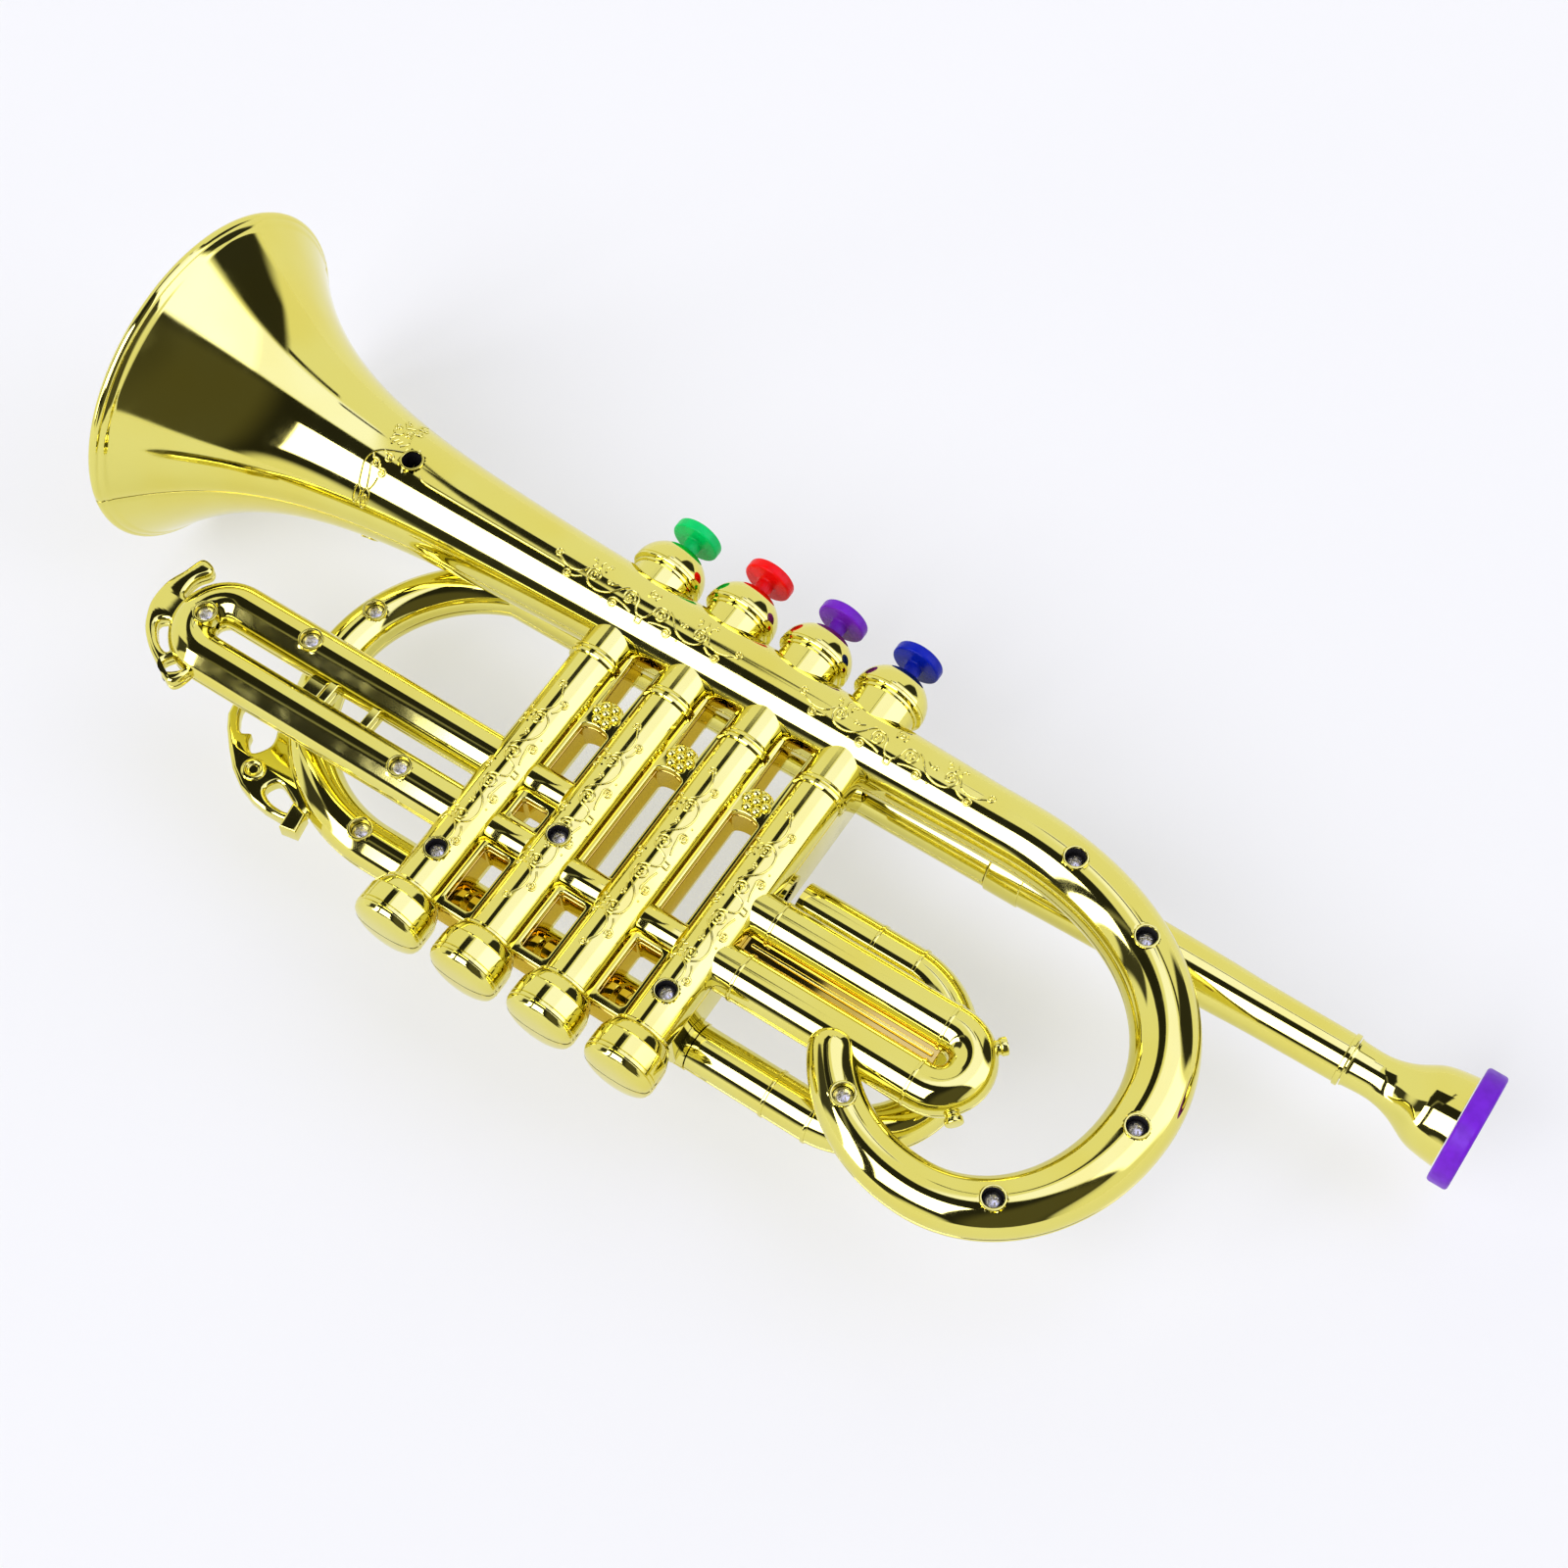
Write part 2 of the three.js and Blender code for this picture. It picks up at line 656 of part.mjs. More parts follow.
// Two short knobs that stick out of the turn of the right slide.
function slideKnobs() {
  return [1, -1].map((side) => {
    const angle = side * quarterTurn * half;
    const reach = rightSlideSpread + rightSlideRadius - wall;
    const profile = rod(reach, reach + wall + slideKnobLength, slideKnobRadius);
    const knob = turnedAlongX(profile, smallSides).rotate([0, 0, THREE.MathUtils.radToDeg(angle)]);
    return knob.translate([rightSlideTurn, rightSlideAxis, 0]);
  });
}

// Lead pipe with the arc that its left end turns into, and the run behind the casings.
function arcPath() {
  const centres = [];
  for (let k = 0; k <= arcSteps; k += 1) {
    const angle = quarterTurn + Math.PI * k / arcSteps;
    const [x, y] = [arcAt + arcRadius * Math.cos(angle), arcCentre + arcRadius * Math.sin(angle)];
    centres.push(point(x, y, rearPlane));
  }
  const runEnd = lastValve + casingRadius + wall;
  return [point(arcAt + arcTubeRadius, rearAxis, rearPlane), ...centres, point(runEnd, arcFoot, rearPlane)];
}

function rearPipeForm(grow) {
  const nose = leadRadiusLeft * half;
  const profile = [[leadLeft - grow, 0], [leadLeft - grow, nose], [leadLeft + nose, leadRadiusLeft + grow],
    [leadRight + grow, leadRadiusRight + grow], [leadRight + grow, 0]];
  const lead = turnedAlongX(profile, turnedSides, rearAxis, rearPlane);
  const path = arcPath();
  return lead.add(loft(path, same(path, arcTubeRadius + grow), pipeSides));
}

function rearPipeHollow() {
  const nose = leadRadiusLeft * half;
  const bore = leadRadiusRight - wall;
  const profile = [[leadLeft + wall, 0], [leadLeft + wall, nose - wall],
    [leadLeft + nose, leadRadiusLeft - wall],
    [leadRight - spigotLength - wall, bore], [leadRight + wall, bore], [leadRight + wall, 0]];
  const lead = turnedAlongX(profile, turnedSides, rearAxis, rearPlane);
  const path = arcPath();
  return lead.add(loft(path, same(path, arcTubeRadius - wall), hollowSides));
}

function rearSlidePath() {
  const spread = (rearSlideTop - arcFoot) * half;
  const axis = (rearSlideTop + arcFoot) * half;
  const open = lastValve + casingRadius + wall + clearance;
  return uPath(open, rearSlideTurn, axis, spread, rearPlane, true);
}

function rearSlideForm(grow) {
  const path = rearSlidePath();
  const form = loft(path, same(path, rearSlideRadius + grow), pipeSides);
  const rings = [];
  rearSlideRings.forEach((reach) => {
    const x = lastValve + reach;
    [rearSlideTop, arcFoot].forEach((y) => {
      const profile = rod(x - ringWidth * half, x + ringWidth * half, rearSlideRadius + ringRise + grow);
      rings.push(turnedAlongX(profile, pipeSides, y, rearPlane));
    });
  });
  return joined([form, ...rings]);
}

function arcBrace() {
  const place = ([x, y]) => [braceLeft + x * braceHeight, braceTop + y * braceHeight];
  const [back, front] = [rearPlane - braceThickness * half, rearPlane + braceThickness * half];
  const [eyeX, eyeY] = place(braceEyeShares);
  let brace = plate(braceShares.map(place), back, front);
  braceWindowShares.forEach((shares) => {
    brace = brace.subtract(plate(shares.map(place), -far, far));
  });
  brace = brace.add(turnedAlongZ(rod(back, front + braceEyeRise, braceEyeRadius), smallSides, eyeX, eyeY));
  brace = brace.subtract(turnedAlongZ(rod(-far, far, braceEyeBore), smallSides, eyeX, eyeY));
  return brace.subtract(rearPipeForm(clearance));
}

function mouthPipe() {
  const start = leadRight + clearance;
  const ferruleEnd = start + mouthFerruleLength;
  const spigot = leadRadiusRight - wall - clearance;
  const profile = [[start - spigotLength, mouthBore], [start - spigotLength, spigot],
    [start, spigot], [start, mouthFerruleRadius], [ferruleEnd, mouthFerruleRadius],
    ...mouthWaistShares.map(([share, radius]) => [leadRight + share * (mouthEnd - leadRight), radius]),
    [mouthEnd, mouthEndRadius], [mouthEnd, mouthEndRadius - wall],
    [mouthEnd + spigotLength, mouthEndRadius - wall], [mouthEnd + spigotLength, mouthBore],
    [start - spigotLength, mouthBore]];
  return turnedAlongX(profile, turnedSides, rearAxis, rearPlane);
}

function mouthpieceCup() {
  const start = mouthEnd + clearance;
  const outer = cupShares.map(([share, radius]) => [start + share * cupLength, radius]);
  const end = start + cupLength;
  const socket = mouthEndRadius - wall + clearance;
  const shoulder = start + spigotLength + clearance;
  const profile = [[start, socket], ...outer, [end, cupBowlRadius], [end - cupBowlDepth, mouthBore],
    [shoulder, mouthBore], [shoulder, socket], [start, socket]];
  return turnedAlongX(profile, turnedSides, rearAxis, rearPlane);
}

function mouthpieceRing() {
  const start = mouthEnd + clearance + cupLength + clearance;
  const end = start + lipLength;
  const profile = [[start, lipBore], [start, lipRadius - lipRound], [start + lipRound, lipRadius],
    [end - lipRound, lipRadius], [end, lipRadius - lipRound], [end, lipBore], [start, lipBore]];
  return turnedAlongX(profile, bellSides * half, rearAxis, rearPlane);
}

// Keys and what is under them.
function dome(x) {
  const rise = domeTop - domeStepTwo;
  const crown = domeShares.map((share) => [
    domeStepTwo + rise * share,
    domeRadius * Math.sqrt(1 - (share * domeCrownShare) ** 2),
  ]);
  const inside = crown.slice(1).map(([y, radius]) => (
    [y - domeWall, Math.max(radius - domeWall, stemCollarRadius + clearance)]
  ));
  const outer = turnedAlongY([[domeFoot, 0], [domeFoot, domeBase], [domeWaist, domeBase],
    [domeWaist, domeBase + domeRise], [domeStepOne, domeBase + domeRise], [domeStepOne, domeRadius],
    ...crown, [domeTop, 0]], turnedSides, x);
  const inner = turnedAlongY([[domeFoot - wall, 0], [domeFoot - wall, domeBase - domeWall],
    [domeWaist, domeBase - domeWall], ...inside, [domeTop - domeWall, 0]], smallSides, x);
  const hole = turnedAlongY(rod(domeFoot, domeTop + wall, stemRadius + clearance), smallSides, x);
  return outer.subtract(inner).subtract(hole).subtract(brassForm(clearance));
}

function key(x) {
  const profile = [[stemFoot, 0], [stemFoot, stemRadius], [stemCollarFoot, stemRadius],
    [stemCollarFoot, stemCollarRadius], [stemCollarFoot + stemCollarHeight, stemCollarRadius],
    [stemCollarFoot + stemCollarHeight, stemRadius], [buttonFoot, stemRadius],
    [buttonFoot, buttonRadius - buttonRound], [buttonFoot + buttonRound, buttonRadius],
    [buttonTop - buttonRound, buttonRadius], [buttonTop, buttonRadius - buttonRound], [buttonTop, 0]];
  return turnedAlongY(profile, turnedSides, x);
}

// Each spring stands on the tube and ends under the collar of its key.
function springCentres(x) {
  const count = springTurns * springSteps;
  const seat = outerRadius(x) + clearance + springWire;
  const rise = stemCollarFoot - clearance - springWire - seat;
  const centres = [];
  for (let k = 0; k <= count; k += 1) {
    const angle = fullTurn * k / springSteps;
    const height = seat + rise * k / count;
    centres.push(point(x + springRadius * Math.cos(angle), height, springRadius * Math.sin(angle)));
  }
  return centres;
}

function spring(x) {
  const centres = springCentres(x);
  const angleAt = (k) => fullTurn * k / springSteps;
  const outward = (k) => point(Math.cos(angleAt(k)), 0, Math.sin(angleAt(k)));
  return loft(centres, same(centres, springWire), springSides, outward);
}

function pad(x) {
  const top = stemFoot - padGap;
  return turnedAlongY(rod(top - padThickness, top, padRadius), smallSides, x);
}

const blockMiddle = casingX((valveCount - 1) * half);

function reedBlock() {
  const [left, right] = [blockMiddle - blockLength * half, blockMiddle + blockLength * half];
  let body = block(left, right, blockFoot, blockTop, -blockHalfWidth, blockHalfWidth);
  for (let i = 0; i < valveCount; i += 1) {
    body = body.subtract(turnedAlongY(rod(blockTop - cellDepth, far, cellRadius), smallSides, casingX(i)));
  }
  return body;
}

function reed(x) {
  const top = blockFoot - clearance;
  const [long, wide] = [reedLength * half, reedWidth * half];
  return block(x - long, x + long, top - reedThickness, top, -wide, wide);
}

// Ribs inside the tube that carry the reed block between the two halves.
function blockRibs() {
  const solids = [];
  [-1, 1].forEach((side) => {
    const x = blockMiddle + side * (blockLength * half - wall);
    const cutter = block(x - wall, x + wall, blockFoot - clearance, blockTop + clearance,
      -blockHalfWidth - clearance, blockHalfWidth + clearance);
    const profile = rod(x - ribThickness * half, x + ribThickness * half, outerRadius(x) - wall * half);
    const rib = turnedAlongX(profile, pipeSides);
    const airway = turnedAlongY(rod(blockTop, far, padRadius), smallSides, x);
    solids.push(rib.subtract(cutter).subtract(airway));
  });
  return joined(solids);
}

// The two halves of a hollow form, cut apart on the seam plane.
function halves(form, plane) {
  return [form.intersect(before(plane)), form.intersect(behind(plane))];
}

const brassTwin = brassForm(clearance);
const rearTwin = rearPipeForm(clearance);
const casingTwin = casingForm(clearance);

function brassHalves() {
  let shell = brassForm(0).add(joined(posts(brassScrews)));
  const hollow = less(brassHollow(), posts(brassScrews)).subtract(blockRibs());
  shell = shell.subtract(hollow);
  shell = less(shell, bores(brassScrews));
  for (let i = 0; i < valveCount; i += 1) {
    shell = shell.subtract(turnedAlongY(rod(0, far, stemRadius + clearance), smallSides, casingX(i)));
  }
  return halves(shell.subtract(rightSlideForm(clearance)), 0);
}

function valveHalves() {
  const inside = posts(casingScrews, casingRadius - wall * half);
  const form = casingForm(0).add(webs()).add(joined(inside));
  const hollow = less(casingHollow(), inside);
  let shell = form.subtract(hollow);
  shell = less(shell, bores(casingScrews));
  return halves(shell.subtract(brassTwin).subtract(rearTwin), 0);
}

function leftSlideHalves() {
  const path = uPath(firstValve, leftSlideTurn, leftSlideAxis, leftSlideSpread, 0, false);
  const inside = posts(leftScrews);
  const form = joined([leftSlideForm(0), hookPlate(), ...inside]);
  const shell = form.subtract(less(slideHollow(path, leftSlideRadius), inside));
  return halves(less(shell, bores(leftScrews)).subtract(casingTwin), 0);
}

function rightSlideHalves() {
  const path = uPath(lastValve, rightSlideTurn, rightSlideAxis, rightSlideSpread, 0, true);
  const shell = rightSlideForm(0).subtract(slideHollow(path, rightSlideRadius)).subtract(casingTwin);
  return halves(joined([shell, ...slideKnobs()]), 0);
}

function rearPipeHalves() {
  const inside = posts(arcScrews);
  const form = rearPipeForm(0).add(joined(inside));
  const hollow = less(rearPipeHollow(), inside).subtract(brassForm(clearance + wall));
  const shell = less(form.subtract(hollow), bores(arcScrews));
  return halves(shell.subtract(brassTwin), rearPlane);
}

function rearSlideHalves() {
  const path = rearSlidePath();
  const shell = rearSlideForm(0).subtract(slideHollow(path, rearSlideRadius));
  return halves(shell.subtract(casingTwin).subtract(rearTwin), rearPlane);
}

const finishes = {
  plated: { colour: gold, ...plating },
  ring: { colour: purple, ...plasticFinish },
  screwSteel: { colour: steel, ...bareMetal },
  reedBrass: { colour: brass, ...bareMetal },
  padRubber: { colour: rubber, ...softRubber },
  blockPlastic: { colour: blockGrey, ...satinPlastic },
};

const trumpet = new THREE.Group();
trumpet.name = 'toy_trumpet';

function addPiece(name, shape, finish) {
  const { vertProperties, triVerts, numProp } = shape.asOriginal().simplify(tidyStep).getMesh();
  const places = [];
  for (let i = 0; i < vertProperties.length; i += numProp) {
    places.push(vertProperties[i], vertProperties[i + 1], vertProperties[i + 2]);
  }
  const geometry = new THREE.BufferGeometry();
  geometry.setAttribute('position', new THREE.Float32BufferAttribute(places, 3));
  geometry.setIndex(Array.from(triVerts));
  geometry.computeVertexNormals();
  const { colour, roughness, metalness } = finish;
  const color = new THREE.Color(...colour);
  const material = new THREE.MeshStandardMaterial({ color, roughness, metalness });
  const mesh = new THREE.Mesh(geometry, material);
  mesh.name = name;
  trumpet.add(mesh);
}

function addHalves(name, [front, back]) {
  addPiece(`${name}_front`, front, finishes.plated);
  addPiece(`${name}_back`, back, finishes.plated);
}

addHalves('bell_tube', brassHalves());
addHalves('valve_body', valveHalves());
addHalves('left_slide', leftSlideHalves());
addHalves('right_slide', rightSlideHalves());
addHalves('rear_pipe', rearPipeHalves());
addHalves('rear_slide', rearSlideHalves());
addPiece('arc_brace', arcBrace(), finishes.plated);
addPiece('mouth_pipe', mouthPipe(), finishes.plated);
addPiece('mouthpiece_cup', mouthpieceCup(), finishes.plated);
addPiece('mouthpiece_ring', mouthpieceRing(), finishes.ring);
for (let i = 0; i < valveCount; i += 1) {
  const [x, number] = [casingX(i), i + 1];
  addPiece(`dome_cap_${number}`, dome(x), finishes.plated);
  addPiece(`key_${number}`, key(x), { colour: keyColours[i], ...plasticFinish });
  addPiece(`key_spring_${number}`, spring(x), finishes.screwSteel);
  addPiece(`key_pad_${number}`, pad(x), finishes.padRubber);
  addPiece(`reed_${number}`, reed(x), finishes.reedBrass);
}
addPiece('reed_block', reedBlock(), finishes.blockPlastic);
[...brassScrews, ...casingScrews, ...leftScrews, ...arcScrews].forEach((place, i) => {
  addPiece(`screw_${i + 1}`, screw(place), finishes.screwSteel);
});

const bounds = new THREE.Box3().setFromObject(trumpet);
const middle = bounds.getCenter(new THREE.Vector3());
trumpet.position.set(-middle.x, -middle.y, -bounds.min.z);

export default trumpet;
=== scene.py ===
"""Looks of the toy trumpet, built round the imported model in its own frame, in metres.

Every form is drawn in millimetres with the bell's axis along X, the keys toward +Y and the screw side toward
+Z, as the solids are, and moved into the frame's place when it becomes a mesh.
"""
import logging
import math
from collections.abc import Callable, Sequence
from dataclasses import dataclass
from enum import Enum

import bmesh
import bpy
import numpy as np
from mathutils import Matrix, Quaternion, Vector
from mathutils.geometry import tessellate_polygon


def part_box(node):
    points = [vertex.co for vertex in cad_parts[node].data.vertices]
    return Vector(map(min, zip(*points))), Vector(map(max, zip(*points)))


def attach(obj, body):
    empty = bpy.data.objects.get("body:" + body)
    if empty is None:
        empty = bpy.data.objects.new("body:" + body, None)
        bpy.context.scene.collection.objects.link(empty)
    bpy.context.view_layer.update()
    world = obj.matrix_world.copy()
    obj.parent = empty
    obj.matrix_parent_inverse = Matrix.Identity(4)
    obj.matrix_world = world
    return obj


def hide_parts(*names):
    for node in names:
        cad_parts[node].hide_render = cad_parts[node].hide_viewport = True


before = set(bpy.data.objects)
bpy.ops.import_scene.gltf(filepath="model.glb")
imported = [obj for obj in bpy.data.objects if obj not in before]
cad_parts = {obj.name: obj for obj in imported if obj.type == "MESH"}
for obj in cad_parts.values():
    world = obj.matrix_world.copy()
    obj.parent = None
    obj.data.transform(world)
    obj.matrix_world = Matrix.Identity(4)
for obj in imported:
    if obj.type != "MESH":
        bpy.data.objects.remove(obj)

LOG = logging.getLogger("toy_trumpet")
Array = np.ndarray
Colour = tuple[float, float, float]
Point = tuple[float, float]
Points = tuple[Point, ...]
Spot = tuple[float, float, float, float]
Drawing = tuple[list[Array], list[Point]]
Lay = Callable[[Array, Array], Array]

# Millimetres in the frame's unit, and the distance in that unit below which points are one
METRE = 1000.0
SAME_POINT = 2e-6

# Sizes that several pieces share, in millimetres
WALL = 1.8
SEAM = 0.14
REAR_AXIS = -0.1
REAR_PLANE = -18.0
MOUTH_FACE = 396.6
FIRST_VALVE = 143.85
VALVE_PITCH = 23.42
VALVES = 4

# Round a screw, in millimetres: the raised ring's radius and height, the well's radius, the depth of its
# floor below the head's top, how far a shell is lowered below that floor, the sink beyond which a well is
# made in dark plastic as painted shade, and the spacing of a shell's rows there
BOSS = 3.35
BOSS_RISE = 0.42
WELL = 2.7
FLOOR = 2.1
UNDER_FLOOR = 0.25
SHADED_WELL_SINK = 1.5
FINE = 0.42

# The drawing's origin in the frame, found from the ring at the mouthpiece
RING_LOW, RING_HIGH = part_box("mouthpiece_ring")
SHIFT = np.array([
    RING_HIGH.x * METRE - MOUTH_FACE,
    (RING_LOW.y + RING_HIGH.y) * METRE / 2.0 - REAR_AXIS,
    (RING_LOW.z + RING_HIGH.z) * METRE / 2.0 - REAR_PLANE,
])


class Side(Enum):
    """The two halves that every shell is moulded in."""

    FRONT = 1
    BACK = -1


# Finishes


class Nodes:
    """Adds shader nodes to a tree and joins them."""

    def __init__(self, tree: bpy.types.NodeTree) -> None:
        """Keeps the tree that the nodes go into."""
        self.tree = tree

    def add(self, kind: str, values: dict | None = None, **settings: object) -> bpy.types.Node:
        """Adds a node.

        Args:
            kind: the node type's name.
            values: input sockets, by name or number, with a value or an output socket for each.
            settings: the node's own settings.

        Returns:
            The new node.
        """
        node = self.tree.nodes.new(kind)
        for name, value in settings.items():
            setattr(node, name, value)
        self.feed(node, values or {})
        return node

    def feed(self, node: bpy.types.Node, values: dict) -> None:
        """Gives inputs of a node, by name or number, a value or an output socket each.

        Args:
            node: the node.
            values: a value or an output socket for each name or number.
        """
        for name, value in values.items():
            if isinstance(value, bpy.types.NodeSocket):
                self.tree.links.new(value, node.inputs[name])
            else:
                node.inputs[name].default_value = value

    def place(self, output: str = "Object") -> bpy.types.NodeSocket:
        """Adds the texture coordinates, and returns one of their outputs."""
        return self.add("ShaderNodeTexCoord").outputs[output]

    def noise(self, place: bpy.types.NodeSocket, scale: float, detail: float = 2.0) -> bpy.types.NodeSocket:
        """Adds a noise over places, and returns its strength."""
        node = self.add("ShaderNodeTexNoise", {"Vector": place, "Scale": scale, "Detail": detail})
        return node.outputs["Fac"]

    def bump(self, height: bpy.types.NodeSocket, strength: float, distance: float) -> bpy.types.NodeSocket:
        """Adds a bump of a height, and returns its normal."""
        node = self.add("ShaderNodeBump", {"Height": height, "Strength": strength, "Distance": distance})
        return node.outputs["Normal"]

    def math(self, operation: str, *values: object) -> bpy.types.NodeSocket:
        """Adds a Math node with its inputs in order, and returns its output."""
        return self.add("ShaderNodeMath", dict(enumerate(values)), operation=operation).outputs[0]

    def step(self, value: bpy.types.NodeSocket, low: float, high: float,
             to_low: float = 0.0, to_high: float = 1.0) -> bpy.types.NodeSocket:
        """Carries a value smoothly from low and high onto another range, and returns the output.

        Args:
            value: the socket that carries the value.
            low: value at the range's start.
            high: value at the range's end.
            to_low: what low becomes.
            to_high: what high becomes.

        Returns:
            The output socket.
        """
        node = self.add("ShaderNodeMapRange", {0: value, 1: low, 2: high, 3: to_low, 4: to_high},
                        interpolation_type="SMOOTHSTEP")
        return node.outputs[0]

    def blend(self, factor: bpy.types.NodeSocket, first: Colour | bpy.types.NodeSocket,
              second: Colour) -> bpy.types.NodeSocket:
        """Mixes a colour, or an output, with a second colour by a factor, and returns the output.

        Args:
            factor: share of the second colour.
            first: the first colour, or an output.
            second: the second colour.

        Returns:
            The output socket.
        """
        if not isinstance(first, bpy.types.NodeSocket):
            first = (*first, 1.0)
        node = self.add("ShaderNodeMix", {0: factor, 6: first, 7: (*second, 1.0)}, data_type="RGBA")
        return node.outputs[2]


def new_material(name: str) -> tuple[bpy.types.Material, Nodes, bpy.types.Node]:
    """Makes a node material, and returns it with its tree's helper and its shader.

    Args:
        name: the material's name.

    Returns:
        The material, its tree's helper and its shader.
    """
    material = bpy.data.materials.new(name)
    material.use_nodes = True
    return material, Nodes(material.node_tree), material.node_tree.nodes["Principled BSDF"]


@dataclass(frozen=True)
class Plating:
    """Vacuum plated gold on moulded plastic: a mirror with a faint ripple and grain under the lacquer."""

    name: str
    colour: Colour
    deep: Colour
    roughness: float = 0.045
    grain: float = 0.003
    ripple: float = 0.1
    slow_scale: float = 34.0
    patch_scale: float = 160.0
    fine_scale: float = 2600.0
    recess_shade: Colour | None = None
    recess_shade_edge_tint: Colour = (0.9, 0.78, 0.38)
    front: float = 2.3
    fade: float = 1.6

    def material(self) -> bpy.types.Material:
        """Builds the material.

        The colour drifts between two golds with a slow noise, the roughness with a middle one, and the bump
        adds a slow ripple of the moulding to fine specks in the plating. Behind the front the colour is
        painted
        shade: it goes over to a darker orange gold with depth, and this finish's edge reflections get a
        matching tint.

        Returns:
            The node material.
        """
        material, nodes, shader = new_material(self.name)
        place = nodes.place()
        slow, patch = nodes.noise(place, self.slow_scale), nodes.noise(place, self.patch_scale, 3.0)
        fine = nodes.noise(place, self.fine_scale, 1.0)
        tint = nodes.blend(nodes.step(slow, 0.35, 0.75), self.colour, self.deep)
        # painted shade: below the front the gold darkens with depth toward an orange gold, standing in for
        # dim light bounced between the walls of the recesses
        if self.recess_shade:
            depth = nodes.add("ShaderNodeSeparateXYZ", {0: place}).outputs[2]
            high = (self.front + SHIFT[2]) / METRE
            low = high - self.fade / METRE
            tint = nodes.blend(nodes.step(depth, low, high, 1.0, 0.0), tint, self.recess_shade)
            nodes.feed(shader, {"Specular Tint": (*self.recess_shade_edge_tint, 1.0)})
        rough = nodes.step(patch, 0.4, 0.8, self.roughness, self.roughness * 2.0)
        height = nodes.math("MULTIPLY", slow, self.ripple)
        height = nodes.math("MULTIPLY_ADD", fine, self.grain, height)
        nodes.feed(shader, {"Base Color": tint, "Roughness": rough, "Metallic": 1.0,
                            "Normal": nodes.bump(height, 0.5, 0.0006)})
        return material


@dataclass(frozen=True)
class Moulded:
    """Coloured glossy plastic with faint flow marks."""

    name: str
    colour: Colour
    roughness: float = 0.24
    scale: float = 420.0
    shade: float = 0.8
    sheen: float = 0.14

    def material(self) -> bpy.types.Material:
        """Builds the material: a colour that a noise darkens a little, over a fine bump.

        Returns:
            The node material.
        """
        material, nodes, shader = new_material(self.name)
        noise = nodes.noise(nodes.place(), self.scale, 4.0)
        darker = tuple(self.shade * c for c in self.colour)
        tint = nodes.blend(nodes.step(noise, 0.3, 0.8), self.colour, darker)
        rough = nodes.step(noise, 0.3, 0.8, self.roughness, self.roughness + 0.12)
        nodes.feed(shader, {"Base Color": tint, "Roughness": rough, "Specular IOR Level": self.sheen,
                            "Normal": nodes.bump(noise, 0.25, 0.0002)})
        return material


@dataclass(frozen=True)
class BareMetal:
    """Bare or zinc plated metal with fine scratches."""

    name: str
    colour: Colour
    roughness: float = 0.22
    scales: tuple[float, float, float] = (900.0, 3000.0, 900.0)
    slant: tuple[float, float, float] = (0.0, 0.3, 0.6)

    def material(self) -> bpy.types.Material:
        """Builds the material: an even metal whose roughness and bump follow a stretched noise.

        Returns:
            The node material.
        """
        material, nodes, shader = new_material(self.name)
        along = nodes.add("ShaderNodeMapping", {"Vector": nodes.place(), "Scale": self.scales,
                                                "Rotation": self.slant})
        noise = nodes.noise(along.outputs[0], 1.0, 3.0)
        rough = nodes.step(noise, 0.3, 0.7, self.roughness, self.roughness + 0.15)
        nodes.feed(shader, {"Base Color": (*self.colour, 1.0), "Roughness": rough, "Metallic": 1.0,
                            "Normal": nodes.bump(noise, 0.2, 0.0001)})
        return material


class Finishes:
    """Every finish of the trumpet, by the record's slot."""

    def __init__(self) -> None:
        """Builds each material once."""
        gold, deep = (0.79, 0.725, 0.185), (0.78, 0.69, 0.14)
        self.by_slot = {
            "plated": Plating("plated_gold", gold, deep).material(),
            # the recess finish paints shade into the gold behind the front, darker with depth
            "recess": Plating("plated_recess_painted_shade", gold, deep, recess_shade=(0.58, 0.42, 0.085)).material(),
            "ring": Moulded("ring_violet", (0.16, 0.014, 0.44), 0.32).material(),
            "key_green": Moulded("key_green", (0.0, 0.58, 0.1)).material(),
            "key_red": Moulded("key_red", (0.84, 0.004, 0.003)).material(),
            "key_violet": Moulded("key_violet", (0.16, 0.014, 0.38)).material(),
            "key_blue": Moulded("key_blue", (0.001, 0.011, 0.3)).material(),
            "screw_steel": BareMetal("zinc_steel", (0.68, 0.65, 0.5)).material(),
            "reed_brass": BareMetal("strip_brass", (0.70, 0.50, 0.18), 0.3).material(),
            "pad_rubber": Moulded("pad_rubber", (0.02, 0.02, 0.02), 0.7).material(),
            "block_plastic": Moulded("block_plastic", (0.012, 0.011, 0.010), 0.4).material(),
        }


# Surfaces


def smooth_step(value: Array, low: float, high: float) -> Array:
    """Goes from 0 at low to 1 at high along 3t^2 - 2t^3, and stays flat outside."""
    t = np.clip((value - low) / (high - low), 0.0, 1.0)
    return t * t * (3.0 - 2.0 * t)


